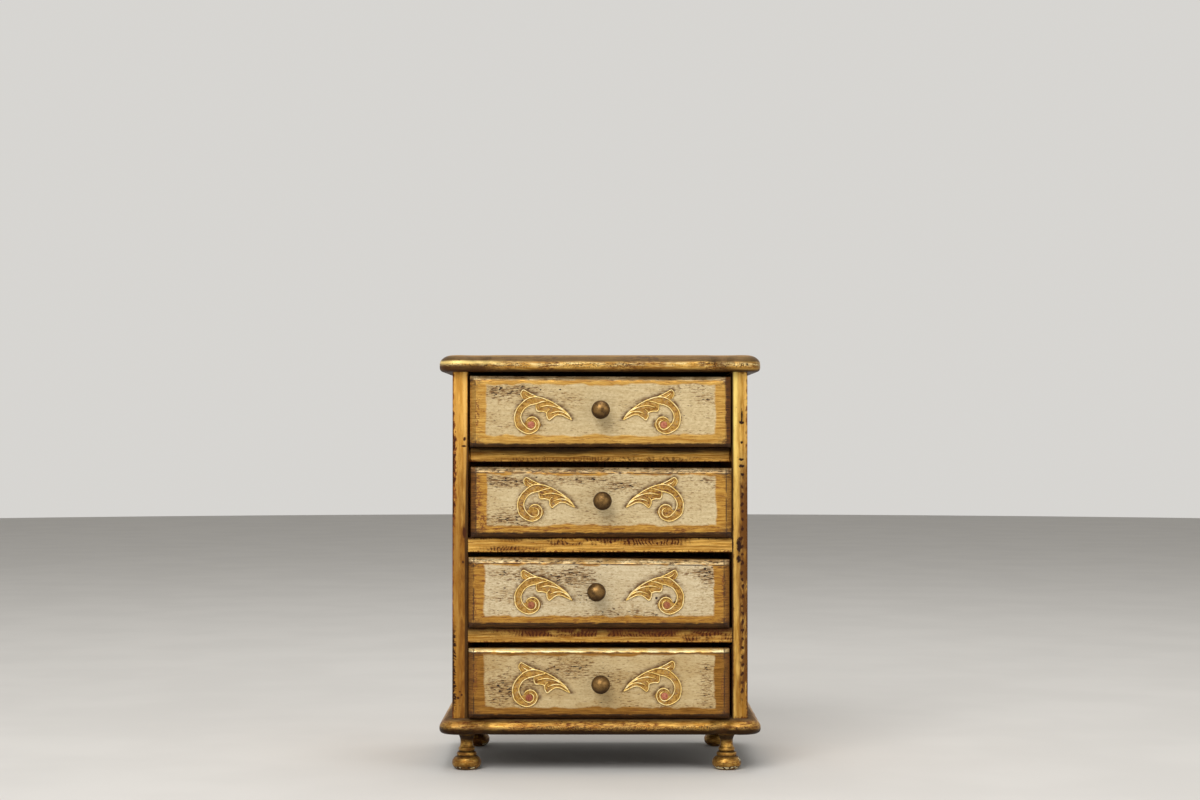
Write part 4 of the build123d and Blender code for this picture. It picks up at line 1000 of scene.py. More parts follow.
def footProfile():
    f = foot
    beadTop = f["bulbHeight"] + f["beadHeight"]
    neckLow = beadTop + f["collarHeight"]
    rows = [(0, 0), (f["sole"] * 0.5, 0), (f["sole"] - 0.4, 0)]
    rows += arcThrough((f["sole"], 0.2), (f["bulb"], f["bulbWidest"]),
                       (f["groove"], f["bulbHeight"] - 0.1), 22)
    rows += arcThrough((f["groove"] - 0.2, f["bulbHeight"] + 0.15),
                       (f["bead"], f["bulbHeight"] + f["beadHeight"] / 2),
                       (f["collar"] + 0.25, beadTop - 0.1), 12)
    rows += arcThrough((f["collar"] - 0.1, beadTop + 0.1),
                       (f["collar"] + 0.4, beadTop + f["collarHeight"] / 2),
                       (f["collar"] - 0.2, neckLow), 8)
    rows += arcThrough((f["collar"] - 0.3, neckLow + 0.15), (f["neck"], f["neckHeight"]),
                       (f["top"], f["height"]), 22)
    rows += [(f["dowel"], f["height"]), (f["dowel"], f["height"] + f["dowelLength"]),
             (0, f["height"] + f["dowelLength"])]
    return [(r * mm, z * mm) for r, z in rows]


def stepIn(key, value):                            # a soft step between two sizes of the foot
    return softStep(value, foot[key][0] * mm, foot[key][1] * mm)


def ringOf(key, height):                           # 1 at the ring's height, fading with its reach
    middle, reach = foot[key]
    return math.exp(-((height - middle * mm) / (reach * mm)) ** 2)


def turnedFoot(name, node, chips, soil, seed):
    low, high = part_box(node)
    place = Matrix.Translation(((low.x + high.x) / 2, (low.y + high.y) / 2, 0))
    shape = turned(footProfile(), foot["turns"], place)
    hollowLayer = shape.verts.layers.float.new("hollow")
    chipLayer = shape.verts.layers.float.new("chip")
    soilLayer = shape.verts.layers.float.new("soiled")
    centre = place.translation
    grooves = [foot["bulbHeight"] * mm, (foot["bulbHeight"] + foot["beadHeight"]) * mm]
    for vertex in shape.verts:
        spot = vertex.co
        deep = max(1 - stepIn("grooveWax", abs(spot.z - g)) for g in grooves)
        # the neck under the base: painted shade with wax
        above = stepIn("neckShadeAndWax", spot.z) * (1 - 0.35 * stepIn("neckShadeFades", spot.z))
        vertex[hollowLayer] = min(1, deep * 0.8 + above * 0.92)
        vertex[soilLayer] = soil
        away = Vector((spot.x - centre.x, spot.y - centre.y, 0))
        if away.length < 1e-6 or spot.z > foot["height"] * mm - 1e-6:
            continue
        side = softStep(away.x / away.length, 0.72, 0.95) if chips > 0.8 else 0
        rim = max(ringOf("soleChips", spot.z), side * ringOf("bulbChips", spot.z))
        along = Vector((spot.x, spot.y, spot.z * 2.4)) / (2.1 * mm)
        bite = noise.noise(along + Vector((seed, seed, 0))) * 0.5 + 0.5
        chip = min(1, max(0, chips * rim * bite * 1.75))
        vertex[chipLayer] = chip
        soft = foot["wear"] * mm * (1 + unevenAt(spot, 4, (0, seed, 0)))
        cut = softStep(chip, 0.55, 0.75) * foot["chipDepth"] * mm
        vertex.co -= away.normalized() * min(soft + cut, away.length * 0.2)
    return asPiece(shape, name, smooth=60)


for name, node, chips, soil, seed in (
    ("footFrontLeft", "foot_front_left", 0.66, 0.5, 2),
    ("footFrontRight", "foot_front_right", 0.95, 0.25, 5),
    ("footRearLeft", "foot_rear_left", 0.7, 0.7, 11),
    ("footRearRight", "foot_rear_right", 0.55, 0.4, 17),
):
    join(turnedFoot(name, node, chips, soil, seed), "carcass", "gilt_wood", [leafFeet], node)
print("feet made")


# Boards of the case and of the drawer boxes, with their edges taken off

def softened(name, node, width, segments=3, angle=40):
    shape = bmesh.new()
    shape.from_mesh(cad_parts[node].data)
    bmesh.ops.remove_doubles(shape, verts=shape.verts, dist=0.002 * mm)
    bmesh.ops.dissolve_limit(shape, angle_limit=math.radians(0.5), verts=shape.verts,
                             edges=shape.edges)
    piece = asPiece(shape, name, smooth=30)
    rounding = piece.modifiers.new("edges taken off", "BEVEL")
    rounding.width = width * mm
    rounding.segments = segments
    rounding.limit_method = "ANGLE"
    rounding.angle_limit = math.radians(angle)
    rounding.harden_normals = True
    return settle(piece)


for name, node, finish in (
    ("sideLeft", "left_side", leafLeft), ("sideRight", "right_side", leafRight),
    ("rail1", "divider_1", leafRails[0]), ("rail2", "divider_2", leafRails[1]),
    ("rail3", "divider_3", leafRails[2]),
):
    join(softened(name, node, 0.5), "carcass", "gilt_wood", [finish], node)

for n in range(1, drawerCount + 1):
    body = f"drawer_{n}"
    for part, finish, slotName in (
        ("left_side", spruceAlong, "drawer_wood"), ("right_side", spruceAlong, "drawer_wood"),
        ("back", spruceAcross, "drawer_wood"), ("bottom", plywood, "plywood"),
    ):
        words = part.split("_")
        name = f"drawer{n}" + "".join(word.capitalize() for word in words)
        join(softened(name, f"{body}_{part}", 0.35, 2), body, slotName, [finish], f"{body}_{part}")
print("case and drawer boards made")


# Scroll relief: ridges of gesso on a low ground, millimetres about the eye of the left volute

scroll = {
    "ground": [
        [(24.6, 2.6), (20.2, 8.3), (12.0, 14.0), (2.2, 17.4), (-4.5, 20.8)],
        [(-4.5, 20.8), (-6.3, 18.4), (-3.9, 14.8)],
        [(-3.9, 14.8), (-8.4, 10.0), (-10.2, 4.0), (-8.4, -2.0), (-2.4, -5.6), (4.1, -3.4)],
        [(4.1, -3.4), (5.7, 0.6), (2.0, 4.9), (-2.0, 4.2), (-3.4, 1.4)],
        [(-3.4, 1.4), (-5.4, 1.2), (-6.2, 5.4), (-3.8, 10.0), (3.1, 12.9)],
        [(3.1, 12.9), (2.5, 10.4), (3.4, 7.7)],
        [(3.4, 7.7), (6.6, 7.6), (9.4, 6.7)],
        [(9.4, 6.7), (8.9, 4.6), (10.5, 2.4)],
        [(10.5, 2.4), (15.0, 5.7), (20.4, 4.2), (24.6, 2.6)],
    ],
    "ridges": [
        [(24.0, 3.1), (20.0, 8.0), (12.0, 13.5), (4.2, 16.3), (-1.4, 15.7), (-5.6, 12.6),
         (-8.6, 8.7), (-9.7, 4.0), (-8.1, -1.7), (-2.0, -5.1), (3.2, -3.3), (4.7, 0.6),
         (3.3, 3.6), (0.6, 4.6), (-1.8, 3.7), (-3.1, 1.9)],
        [(0.1, 2.8), (2.0, 2.0), (2.8, 0.2), (2.1, -1.7), (0.4, -2.7), (-1.7, -2.2), (-3.4, -0.8),
         (-4.9, 1.0), (-5.9, 3.4), (-5.8, 6.2), (-3.7, 9.7), (-0.6, 11.6), (3.0, 12.5),
         (6.4, 13.6), (9.4, 14.1)],
        [(3.4, 16.8), (0.9, 17.7), (-1.6, 19.0), (-4.3, 20.5), (-5.5, 19.7), (-6.0, 17.8),
         (-4.6, 15.2)],
        [(0.4, 16.0), (-1.2, 16.5), (-2.9, 17.3), (-4.3, 18.8)],
        [(3.0, 12.2), (2.9, 10.2), (3.8, 8.1), (6.6, 8.0), (9.0, 7.1), (9.3, 4.8), (10.6, 2.9),
         (12.6, 4.3), (15.0, 5.8), (18.0, 5.8), (21.0, 4.4), (24.0, 2.8)],
        [(4.7, 10.3), (9.1, 11.3), (12.9, 10.9), (16.3, 9.8), (20.2, 7.6)],
        [(10.8, 6.3), (13.0, 7.3), (16.0, 7.9), (18.8, 7.4), (21.6, 5.6), (23.8, 3.4)],
        [(9.2, 6.9), (9.9, 8.4), (11.3, 9.2)],
    ],
    "groundHeight": 0.40, "groundStep": 0.5, "ridgeHeight": 1.04, "ridgeWidth": 0.96,
    "ridgeStep": 0.45, "ridgeSides": 10, "uneven": 0.14, "tipRidges": (2, 3), "tipShare": 0.9,
    "sunk": 0.3, "voxel": 0.2, "eyeRadius": 2.3, "eyeHeight": 0.92, "eyeSteps": 8, "eyeTurns": 28,
}


def groundLines():
    return [smoothLine([Vector(p) for p in span], scroll["groundStep"])
            for span in scroll["ground"]]


def ridgeTube(shape, line, width, height, place, seed):
    sides, rings, total = scroll["ridgeSides"], [], len(line) - 1
    for k, point in enumerate(line):
        along = (line[min(k + 1, total)] - line[max(k - 1, 0)]).normalized()
        across = Vector((along.y, -along.x))
        taper = min(1, 0.45 + 0.55 * min(k, total - k) / 6)
        lively = 1 + scroll["uneven"] * noise.noise(Vector((point.x, point.y, seed)) * 0.45)
        ring = []
        for s in range(sides):
            a = 2 * math.pi * s / sides
            offset = across * (math.cos(a) * width / 2 * taper * lively)
            lift = math.sin(a) * height * (0.75 + 0.25 * taper) * lively
            ring.append(shape.verts.new(place(point + offset, max(lift, -scroll["sunk"]))))
        rings.append(ring)
    for low, high in zip(rings, rings[1:]):
        bridge(shape, low, high)
    shape.faces.new(rings[0])
    shape.faces.new(list(reversed(rings[-1])))


def scrollPair(name, drawer, face, centres, eyes, soiled):
    gesso = bmesh.new()
    for side, centre, seed in ((1, centres[0], 1.0), (-1, centres[1], 2.0)):
        def place(point, lift, side=side, centre=centre):
            return Vector((centre.x + side * point.x * mm, face - lift * mm,
                           centre.y + point.y * mm))

        one = bmesh.new()
        outline = [p for span in groundLines() for p in span[:-1]]
        rings = [[one.verts.new(place(p, lift)) for p in outline]
                 for lift in (-scroll["sunk"], scroll["groundHeight"])]
        bridge(one, *rings)
        one.faces.new(rings[0])
        one.faces.new(rings[1])
        for r, points in enumerate(scroll["ridges"]):
            line = smoothLine([Vector(p) for p in points], scroll["ridgeStep"])
            width = scroll["ridgeWidth"] * (scroll["tipShare"] if r in scroll["tipRidges"] else 1)
            ridgeTube(one, line, width, scroll["ridgeHeight"], place, seed * 10 + r + drawer * 3)
        bmesh.ops.recalc_face_normals(one, faces=one.faces)
        pour(one, gesso)
    piece = asPiece(gesso, name)
    melt = piece.modifiers.new("melted together", "REMESH")
    melt.mode = "VOXEL"
    melt.voxel_size = scroll["voxel"] * mm
    melt.use_smooth_shade = True
    calm = piece.modifiers.new("calmed", "SMOOTH")
    calm.factor = 0.5
    calm.iterations = 2
    settle(piece)
    finishes = [giltGesso(f"giltGessoScrolls{drawer}", face, soiled)]
    whole = bmesh.new()
    whole.from_mesh(piece.data)
    for side, centre, colour in ((1, centres[0], eyes[0]), (-1, centres[1], eyes[1])):
        if not colour:
            continue
        radius, height = scroll["eyeRadius"] * mm, scroll["eyeHeight"] * mm
        dome = [(0, height)] + [(radius * math.sin(t), height * math.cos(t))
                                for t in quarterTurn(scroll["eyeSteps"])[1:]]
        dome += [(radius, -scroll["sunk"] * mm), (0, -scroll["sunk"] * mm)]
        out = Matrix.Translation((centre.x, face, centre.y)) @ Matrix.Rotation(math.pi / 2, 4, "X")
        eye = turned(dome, scroll["eyeTurns"], out)
        for polygon in eye.faces:
            polygon.material_index = len(finishes)
        finishes.append(colour)
        pour(eye, whole)
    whole.to_mesh(piece.data)
    whole.free()
    piece.data.shade_smooth()
    return piece, finishes


coral = dotPaint("coralDistemper", "C98162", "944A34")
brick = dotPaint("brickDistemper", "B2714A", "7A3A20")
wine = dotPaint("wineDistemper", "A86244", "74301C")
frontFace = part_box("drawer_1_front")[0].y

# Drawer fronts, knobs, scrolls and felts

# millimetres and shares; flecks, stains and dots: place about the panel's middle, half sizes and
# how dense; lowered and tan: left and right; border: left, right, top, bottom
drawers = [
    {"seed": 11, "eyes": (coral, coral), "soiled": 0.0, "scrollDrop": (7.9, 7.9),
     "lowered": (0.1, 0.7), "trim": (0.6, 1.1), "line": 0.45, "tan": (0.5, 0.0), "worn": 0.0,
     "topClean": 0.03, "ivory": ("B59B6A", "E2CEA2"),
     "leaf": ("AE7A30", "DDB05C"), "topLeafHighlight": ("A88656", "F2D8A4"), "sideWax": (0.15, 1.0),
     "border": (9.5, 9.0, 4.6, 7.0), "dots": [(-35.2, 12.9, 0.55, 0.5), (-23.7, 13.1, 0.7, 0.4)],
     "stains": [(-72.5, 0, 1.5, 9)],
     "flecks": [(-58, 12, 13, 5, 0.55), (-46, 9, 18, 7, 0.5), (62, 9, 7, 7, 0.5),
                (48, 13, 18, 3, 0.45), (-60, -8, 8, 8, 0.35), (-20, 6, 9, 6, 0.3)]},
    {"seed": 29, "eyes": (None, None), "soiled": 1.0, "scrollDrop": (6.2, 6.2),
     "lowered": (0.6, 1.3), "trim": (0.0, 0.4), "line": 0.85, "tan": (0.45, 0.15), "worn": 0.05,
     "topClean": -0.02, "ivory": ("B79E70", "E2D0A6"),
     "leaf": ("9C6824", "D8A64E"), "topLeafHighlight": ("B4925E", "F8E0AC"), "sideWax": (0.85, 0.25),
     "border": (9.8, 9.2, 4.2, 7.4), "dots": [(-38.0, 15.0, 0.7, 0.5)],
     "stains": [(-73.0, 1, 2.6, 17), (-69.5, -12, 2.5, 6)],
     "flecks": [(-39, 4.5, 4, 3.5, 0.6), (-58, 12, 12, 4, 0.95), (-52, -9, 16, 6, 0.9),
                (-20, 13, 36, 3.5, 0.7), (12, 9, 12, 4, 0.8), (64, 13, 9, 3, 0.85),
                (-8, -8, 22, 6, 0.15)]},
    {"seed": 47, "eyes": (brick, brick), "soiled": 0.55, "scrollDrop": (7.5, 7.5),
     "lowered": (0.6, 2.0), "trim": (0.0, 0.3), "line": 0.85, "tan": (0.25, 0.2), "worn": 0.05,
     "topClean": -0.01, "ivory": ("BAA47C", "E4D4B0"),
     "leaf": ("9C6A28", "CC9844"), "topLeafHighlight": ("BC985E", "FCE8B4"), "sideWax": (0.35, 0.5),
     "border": (9.6, 9.2, 3.6, 7.0),
     "dots": [(33.8, -2.7, 0.9, 0.8), (44.6, -5.1, 0.8, 0.8), (29.8, -1.7, 0.6, 0.6),
              (65, 12.5, 1.0, 0.8), (68.3, 9.6, 0.8, 0.7), (62, 14.6, 0.7, 0.6),
              (66.5, 15.2, 0.7, 0.5)],
     "stains": [(-73.2, -6, 1.8, 10), (73.5, 4, 1.6, 8)],
     "flecks": [(-39, 4, 3.5, 3.5, 0.6), (-12, 11, 11, 7, 1.0), (-42, 11, 22, 5, 0.8),
                (64, 9, 7, 8, 1.0), (48, 13, 16, 3, 0.6), (-56, -2, 10, 10, 0.45),
                (20, -13, 26, 4, 0.5), (-8, -2, 7, 4, 0.6)]},
    {"seed": 67, "eyes": (wine, coral), "soiled": 0.6, "scrollDrop": (8.6, 7.7),
     "lowered": (1.0, 1.1), "trim": (0.9, 0.7), "line": 0.85, "tan": (0.8, 0.6), "worn": 0.0,
     "topClean": 0.12, "ivory": ("B69C6C", "DEC99C"),
     "leaf": ("784E1C", "AC7A34"), "topLeafHighlight": ("F2CC7C", "FFF6C4"), "sideWax": (0.45, 0.6),
     "border": (9.4, 9.0, 3.9, 6.6), "dots": [(18, -13.4, 0.6, 0.5)],
     "stains": [(-73.0, 4, 2.0, 12), (73.0, -4, 1.8, 10)],
     "flecks": [(-40, 4, 4, 4, 0.7), (-56, -2, 13, 12, 0.85), (-22, 8, 24, 8, 0.75),
                (63, 0, 5, 14, 0.8), (10, 4, 20, 8, 0.2), (38, -14, 20, 3, 0.5)]},
]
frontShape = {"bevel": 3.0, "ease": 0.5, "waver": 0.3, "waverCell": 13, "cell": 0.75,
              "edgeCell": 0.42, "unevenness": 0.05, "unevenCell": 6, "edgeWear": 0.25,
              "wearCell": 2.5, "wearReach": 1.2}


def gridLines(low, high):                          # close lines in the bevels, wider between them
    edge, cell = (frontShape["bevel"] + 0.8) * mm, frontShape["cell"] * mm
    count = round(edge / (frontShape["edgeCell"] * mm))
    first = [low + edge * k / count for k in range(count)]
    last = [high - edge + edge * k / count for k in range(1, count + 1)]
    inner = round((high - low - 2 * edge) / cell)
    middle = [low + edge + (high - low - 2 * edge) * k / inner for k in range(inner + 1)]
    return first + middle + last


def drawerFront(name, node, relief, panel, seed):
    low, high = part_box(node)
    lowered = panel["lowered"]
    high.z -= sum(lowered) / 2 * mm
    fall = (lowered[1] - lowered[0]) / (high.x - low.x) * mm
    bevel, ease = frontShape["bevel"] * mm, frontShape["ease"] * mm
    xs, zs = gridLines(low.x, high.x), gridLines(low.z, high.z)
    tree = kdtree.KDTree(len(relief))
    for k, point in enumerate(relief):
        tree.insert((point.x, 0, point.y), k)
    tree.balance()
    shape = bmesh.new()
    fleckLayer = shape.verts.layers.float.new("flecks")
    reliefLayer = shape.verts.layers.float.new("nearRelief")
    middle = (low + high) / 2
    grid = []
    for z in zs:
        row = []
        for x in xs:
            top = high.z - fall * (x - middle.x)
            level = low.z + (z - low.z) * (top - low.z) / (high.z - low.z)
            spot = Vector((x, 0, level))
            away = min(x - low.x, high.x - x, level - low.z + panel["trim"][1] * mm,
                       top - level + panel["trim"][0] * mm)
            waver = frontShape["waver"] * mm * unevenAt(
                spot, frontShape["waverCell"], (seed, 0, 0))
            slope = bevel + waver - away
            depth = 0.5 * (slope + math.sqrt(slope * slope + ease * ease))
            depth = min(depth, bevel + 0.3 * mm)
            depth += frontShape["unevenness"] * mm * (
                1 + unevenAt(spot, frontShape["unevenCell"], (0, seed, 0)))
            nearEdge = 1 - softStep(min(away, level - low.z, top - level), 0,
                                    frontShape["wearReach"] * mm)
            depth += frontShape["edgeWear"] * mm * nearEdge * (
                1 + unevenAt(spot, frontShape["wearCell"], (0, 0, seed)))
            vertex = shape.verts.new((x, low.y + depth, level))
            u, v = (x - middle.x) / mm, (level - middle.z) / mm
            dense = sum(s * math.exp(-((u - a) / w) ** 2 - ((v - b) / h) ** 2)
                        for a, b, w, h, s in panel["flecks"])
            vertex[fleckLayer] = min(1, dense)
            near, _, distance = tree.find((x, 0, level))
            aim = (level - near.z - 0.5 * math.copysign(x - near.x, (x - near.x) * x)) / (
                distance + 1e-6)
            lean = softStep(aim, -0.6, 0.6)
            spread = 1.0 * mm * (0.8 + 0.9 * lean)
            vertex[reliefLayer] = math.exp(-(distance / spread) ** 2) * (0.25 + 0.85 * lean)
            row.append(vertex)
        grid.append(row)
    rows, columns = len(zs), len(xs)
    for j in range(rows - 1):
        for i in range(columns - 1):
            shape.faces.new([grid[j][i], grid[j][i + 1], grid[j + 1][i + 1], grid[j + 1][i]])
    rim = rimOf(grid)
    back = [shape.verts.new((v.co.x, high.y, v.co.z)) for v in rim]
    for k in range(len(rim)):
        m = (k + 1) % len(rim)
        shape.faces.new([rim[m], rim[k], back[k], back[m]])
    shape.faces.new(list(reversed(back)))
    bmesh.ops.recalc_face_normals(shape, faces=shape.faces)
    bmesh.ops.triangulate(shape, faces=[f for f in shape.faces if len(f.verts) > 4])
    return asPiece(shape, name, smooth=50)


knob = {"ball": 5.5, "neck": 2.2, "flange": 3.2, "flangeHeight": 1.2, "shank": 2.0,
        "shankLength": 7.0, "reach": 14.0, "turns": 72, "ballSteps": 32, "dentedFrom": 3.4,
        "dentCell": 3.4, "dent": 0.09}


def turnedKnob(name, node, seed):
    low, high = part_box(node)
    k = knob
    centreHeight = k["reach"] - k["ball"]
    neckDrop = math.sqrt(k["ball"] ** 2 - k["neck"] ** 2)
    start = math.atan2(-neckDrop, k["neck"])
    rows = [(0, -k["shankLength"]), (k["shank"], -k["shankLength"]), (k["shank"], 0),
            (k["flange"] - 0.2, 0), (k["flange"], 0.2), (k["flange"], k["flangeHeight"] - 0.35),
            (k["flange"] - 0.3, k["flangeHeight"]), (k["neck"] + 0.35, k["flangeHeight"] + 0.05),
            (k["neck"], k["flangeHeight"] + 0.4)]
    for s in range(k["ballSteps"] + 1):
        a = start + (math.pi / 2 - start) * s / k["ballSteps"]
        radius = k["ball"] * math.cos(a) if s < k["ballSteps"] else 0
        rows.append((radius, centreHeight + k["ball"] * math.sin(a)))
    place = Matrix.Translation(((low.x + high.x) / 2, frontFace, (low.z + high.z) / 2))
    shape = turned([(r * mm, h * mm) for r, h in rows], k["turns"],
                   place @ Matrix.Rotation(math.pi / 2, 4, "X"))
    ball = Vector((place.translation.x, frontFace - centreHeight * mm, place.translation.z))
    for vertex in shape.verts:
        ray = vertex.co - ball
        if vertex.co.y < frontFace - k["dentedFrom"] * mm:
            dent = 0.5 + 0.5 * unevenAt(vertex.co, k["dentCell"], (seed, seed, seed))
            vertex.co -= ray.normalized() * k["dent"] * mm * dent
    return asPiece(shape, name, smooth=50)


feltSheet = {"cell": 2.0, "ripple": 0.22, "rippleCell": 17, "ruck": 0.08, "ruckCell": 4,
             "edgeDraw": 0.25}


def feltLiner(name, node, seed):
    low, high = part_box(node)
    f = feltSheet
    cell = f["cell"] * mm
    countX, countY = round((high.x - low.x) / cell), round((high.y - low.y) / cell)
    shape = bmesh.new()
    sheets = []
    for level in (0, 1):
        rows = []
        for j in range(countY + 1):
            row = []
            for i in range(countX + 1):
                x = low.x + (high.x - low.x) * i / countX
                y = low.y + (high.y - low.y) * j / countY
                spot = Vector((x, y, seed * mm))
                ripple = 0.5 + 0.5 * unevenAt(spot, f["rippleCell"])
                ruck = 0.5 + 0.5 * unevenAt(spot, f["ruckCell"])
                top = high.z - f["ripple"] * mm * ripple - f["ruck"] * mm * ruck
                draw = f["edgeDraw"] * mm * ruck
                x -= math.copysign(draw, x - (low.x + high.x) / 2) if i in (0, countX) else 0
                y -= math.copysign(draw, y - (low.y + high.y) / 2) if j in (0, countY) else 0
                row.append(shape.verts.new((x, y, top if level else low.z)))
            rows.append(row)
        sheets.append(rows)
    under, over = sheets
    for j in range(countY):
        for i in range(countX):
            shape.faces.new([over[j][i], over[j][i + 1], over[j + 1][i + 1], over[j + 1][i]])
            shape.faces.new([under[j][i], under[j + 1][i], under[j + 1][i + 1], under[j][i + 1]])
    bridge(shape, rimOf(under), rimOf(over))
    bmesh.ops.recalc_face_normals(shape, faces=shape.faces)
    piece = asPiece(shape, name, smooth=50)
    return piece, (high.x - low.x, high.y - low.y)


for n, panel in enumerate(drawers, start=1):
    body = f"drawer_{n}"
    frontLow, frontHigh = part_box(f"{body}_front")
    centre = (frontLow + frontHigh) / 2
    scrollLow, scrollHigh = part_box(f"{body}_scrolls")
    reach = min(p[0] for span in scroll["ground"] for p in span)     # left of the left eye
    left = Vector((scrollLow.x - reach * mm, centre.z - panel["scrollDrop"][0] * mm))
    right = Vector((scrollHigh.x + reach * mm, centre.z - panel["scrollDrop"][1] * mm))
    relief = [Vector((eye.x + side * p.x * mm, eye.y + p.y * mm))
              for side, eye in ((1, left), (-1, right)) for span in groundLines() for p in span]
    shownHeight = frontHigh.z - frontLow.z - sum(panel["lowered"]) / 2 * mm
    panel["centre"] = (centre.x, frontLow.y, frontLow.z + shownHeight / 2)
    panel["half"] = ((frontHigh.x - frontLow.x) / 2, shownHeight / 2)
    finish = paintedGesso(f"paintedGessoFront{n}", panel)
    join(drawerFront(f"drawer{n}Front", f"{body}_front", relief, panel, n * 5.3), body,
         "ivory_gesso", [finish], f"{body}_front")
    pair, finishes = scrollPair(f"drawer{n}Scrolls", n, frontFace, (left, right), panel["eyes"],
                                panel["soiled"])
    join(pair, body, "gilt_gesso", finishes, f"{body}_scrolls")
    join(turnedKnob(f"drawer{n}Knob", f"{body}_knob", n * 2.7), body, "antique_brass",
         [brassSkin], f"{body}_knob")
    liner, flat = feltLiner(f"drawer{n}Felt", f"{body}_felt", n)
    join(liner, body, "felt", [felt], f"{body}_felt")
print("drawers made")


# Movement

def newTree(name, sockets):                        # a geometry tree, its add and what it is given
    tree = bpy.data.node_groups.new(name, "GeometryNodeTree")
    for label, kind in sockets.items():
        tree.interface.new_socket(label, in_out="INPUT", socket_type=f"NodeSocket{kind}")
    tree.interface.new_socket("Result", in_out="OUTPUT", socket_type="NodeSocketGeometry")
    add = partial(put, tree)
    return tree, add, add("NodeGroupInput").outputs


def endTree(add, placed, finish):                  # makes the instances plain and gives a finish
    plain = add("GeometryNodeRealizeInstances", {"Geometry": placed})
    done = add("GeometryNodeSetMaterial", {"Geometry": plain, "Material": finish})
    add("NodeGroupOutput", {"Result": done})


def fastenerTree():
    # a fastener at every point of the mesh: a tapered head on a shank, with or without a slot
    tree, add, given = newTree("fasteners", {
        "Points": "Geometry", "Head radius": "Float", "Crown radius": "Float",
        "Head height": "Float", "Shank radius": "Float", "Shank length": "Float",
        "Slot width": "Float", "Slot depth": "Float", "Slotted": "Bool", "Facing": "Rotation",
        "Seed": "Int", "Finish": "Material"})
    head = add("GeometryNodeMeshCone", {
        "Vertices": 32, "Radius Bottom": given["Head radius"],
        "Radius Top": given["Crown radius"], "Depth": given["Head height"]}).outputs["Mesh"]
    twice = add("Math", [given["Head radius"], 3], "MULTIPLY")
    size = add("CombineXYZ", {"X": twice, "Y": given["Slot width"], "Z": given["Slot depth"]})
    block = add("GeometryNodeMeshCube", {"Size": size}).outputs["Mesh"]
    rise = add("CombineXYZ", {"Z": given["Head height"]})
    block = add("GeometryNodeTransform", {"Geometry": block, "Translation": rise})
    cut = add("GeometryNodeMeshBoolean", {"Mesh 1": head, "Mesh 2": block},
              "DIFFERENCE").outputs["Mesh"]
    head = add("GeometryNodeSwitch", {"Switch": given["Slotted"], "False": head, "True": cut},
               input_type="GEOMETRY")
    shank = add("GeometryNodeMeshCylinder", {"Vertices": 20, "Radius": given["Shank radius"],
                                             "Depth": given["Shank length"]}).outputs["Mesh"]
    half = add("Math", [given["Shank length"], -0.5], "MULTIPLY")
    drop = add("CombineXYZ", {"Z": half})
    shank = add("GeometryNodeTransform", {"Geometry": shank, "Translation": drop})
    whole = add("GeometryNodeJoinGeometry")
    for part in (head, shank):
        tree.links.new(part.outputs[0], whole.inputs[0])
    placed = add("GeometryNodeInstanceOnPoints", {"Points": given["Points"], "Instance": whole,
                                                  "Rotation": given["Facing"]})
    turn = add("FunctionNodeRandomValue", {"Max": math.tau, "Seed": given["Seed"]},
               data_type="FLOAT")
    spin = add("CombineXYZ", {"Z": turn})
    placed = add("GeometryNodeRotateInstances", {"Instances": placed, "Rotation": spin})
    endTree(add, placed, given["Finish"])
    return tree


def pinTree():
    # pins on a music cylinder: note by note, at random places of an even division of the turn
    tree, add, given = newTree("cylinderPins", {
        "Notes": "Int", "Pitch": "Float", "Places": "Int", "Share": "Float",
        "Pin radius": "Float", "Pin length": "Float", "Reach": "Float", "First": "Vector",
        "Seed": "Int", "Finish": "Material"})
    count = add("Math", [given["Notes"], given["Places"]], "MULTIPLY")
    index = add("GeometryNodeInputIndex").outputs[0]
    note = add("Math", [index, given["Notes"]], "MODULO")
    step = add("Math", [index, given["Notes"]], "DIVIDE")
    step = add("Math", [step], "FLOOR")
    turn = add("Math", [step, math.tau], "MULTIPLY")
    turn = add("Math", [turn, given["Places"]], "DIVIDE")
    along = add("Math", [note, given["Pitch"]], "MULTIPLY")
    back = add("Math", [add("Math", [turn], "SINE"), given["Reach"]], "MULTIPLY")
    back = add("Math", [back, -1], "MULTIPLY")
    up = add("Math", [add("Math", [turn], "COSINE"), given["Reach"]], "MULTIPLY")
    spot = add("CombineXYZ", {"X": along, "Y": back, "Z": up})
    spot = add("VectorMath", [spot, given["First"]], "ADD")
    points = add("GeometryNodePoints", {"Count": count, "Position": spot})
    chance = add("FunctionNodeRandomValue", {"Seed": given["Seed"]}, data_type="FLOAT")
    spare = add("FunctionNodeCompare", [chance, given["Share"]], "GREATER_THAN")
    points = add("GeometryNodeDeleteGeometry", {"Geometry": points, "Selection": spare},
                 domain="POINT")
    # the angle is worked out again from where each point that is left stands
    place = add("VectorMath", [add("GeometryNodeInputPosition"), given["First"]], "SUBTRACT")
    x, y, z = add("SeparateXYZ", [place]).outputs
    angle = add("Math", [add("Math", [y, -1], "MULTIPLY"), z], "ARCTAN2")
    lean = add("CombineXYZ", {"X": angle})
    pin = add("GeometryNodeMeshCylinder", {"Vertices": 8, "Radius": given["Pin radius"],
                                           "Depth": given["Pin length"]}).outputs["Mesh"]
    placed = add("GeometryNodeInstanceOnPoints", {"Points": points, "Instance": pin,
                                                  "Rotation": lean})
    endTree(add, placed, given["Finish"])
    return tree


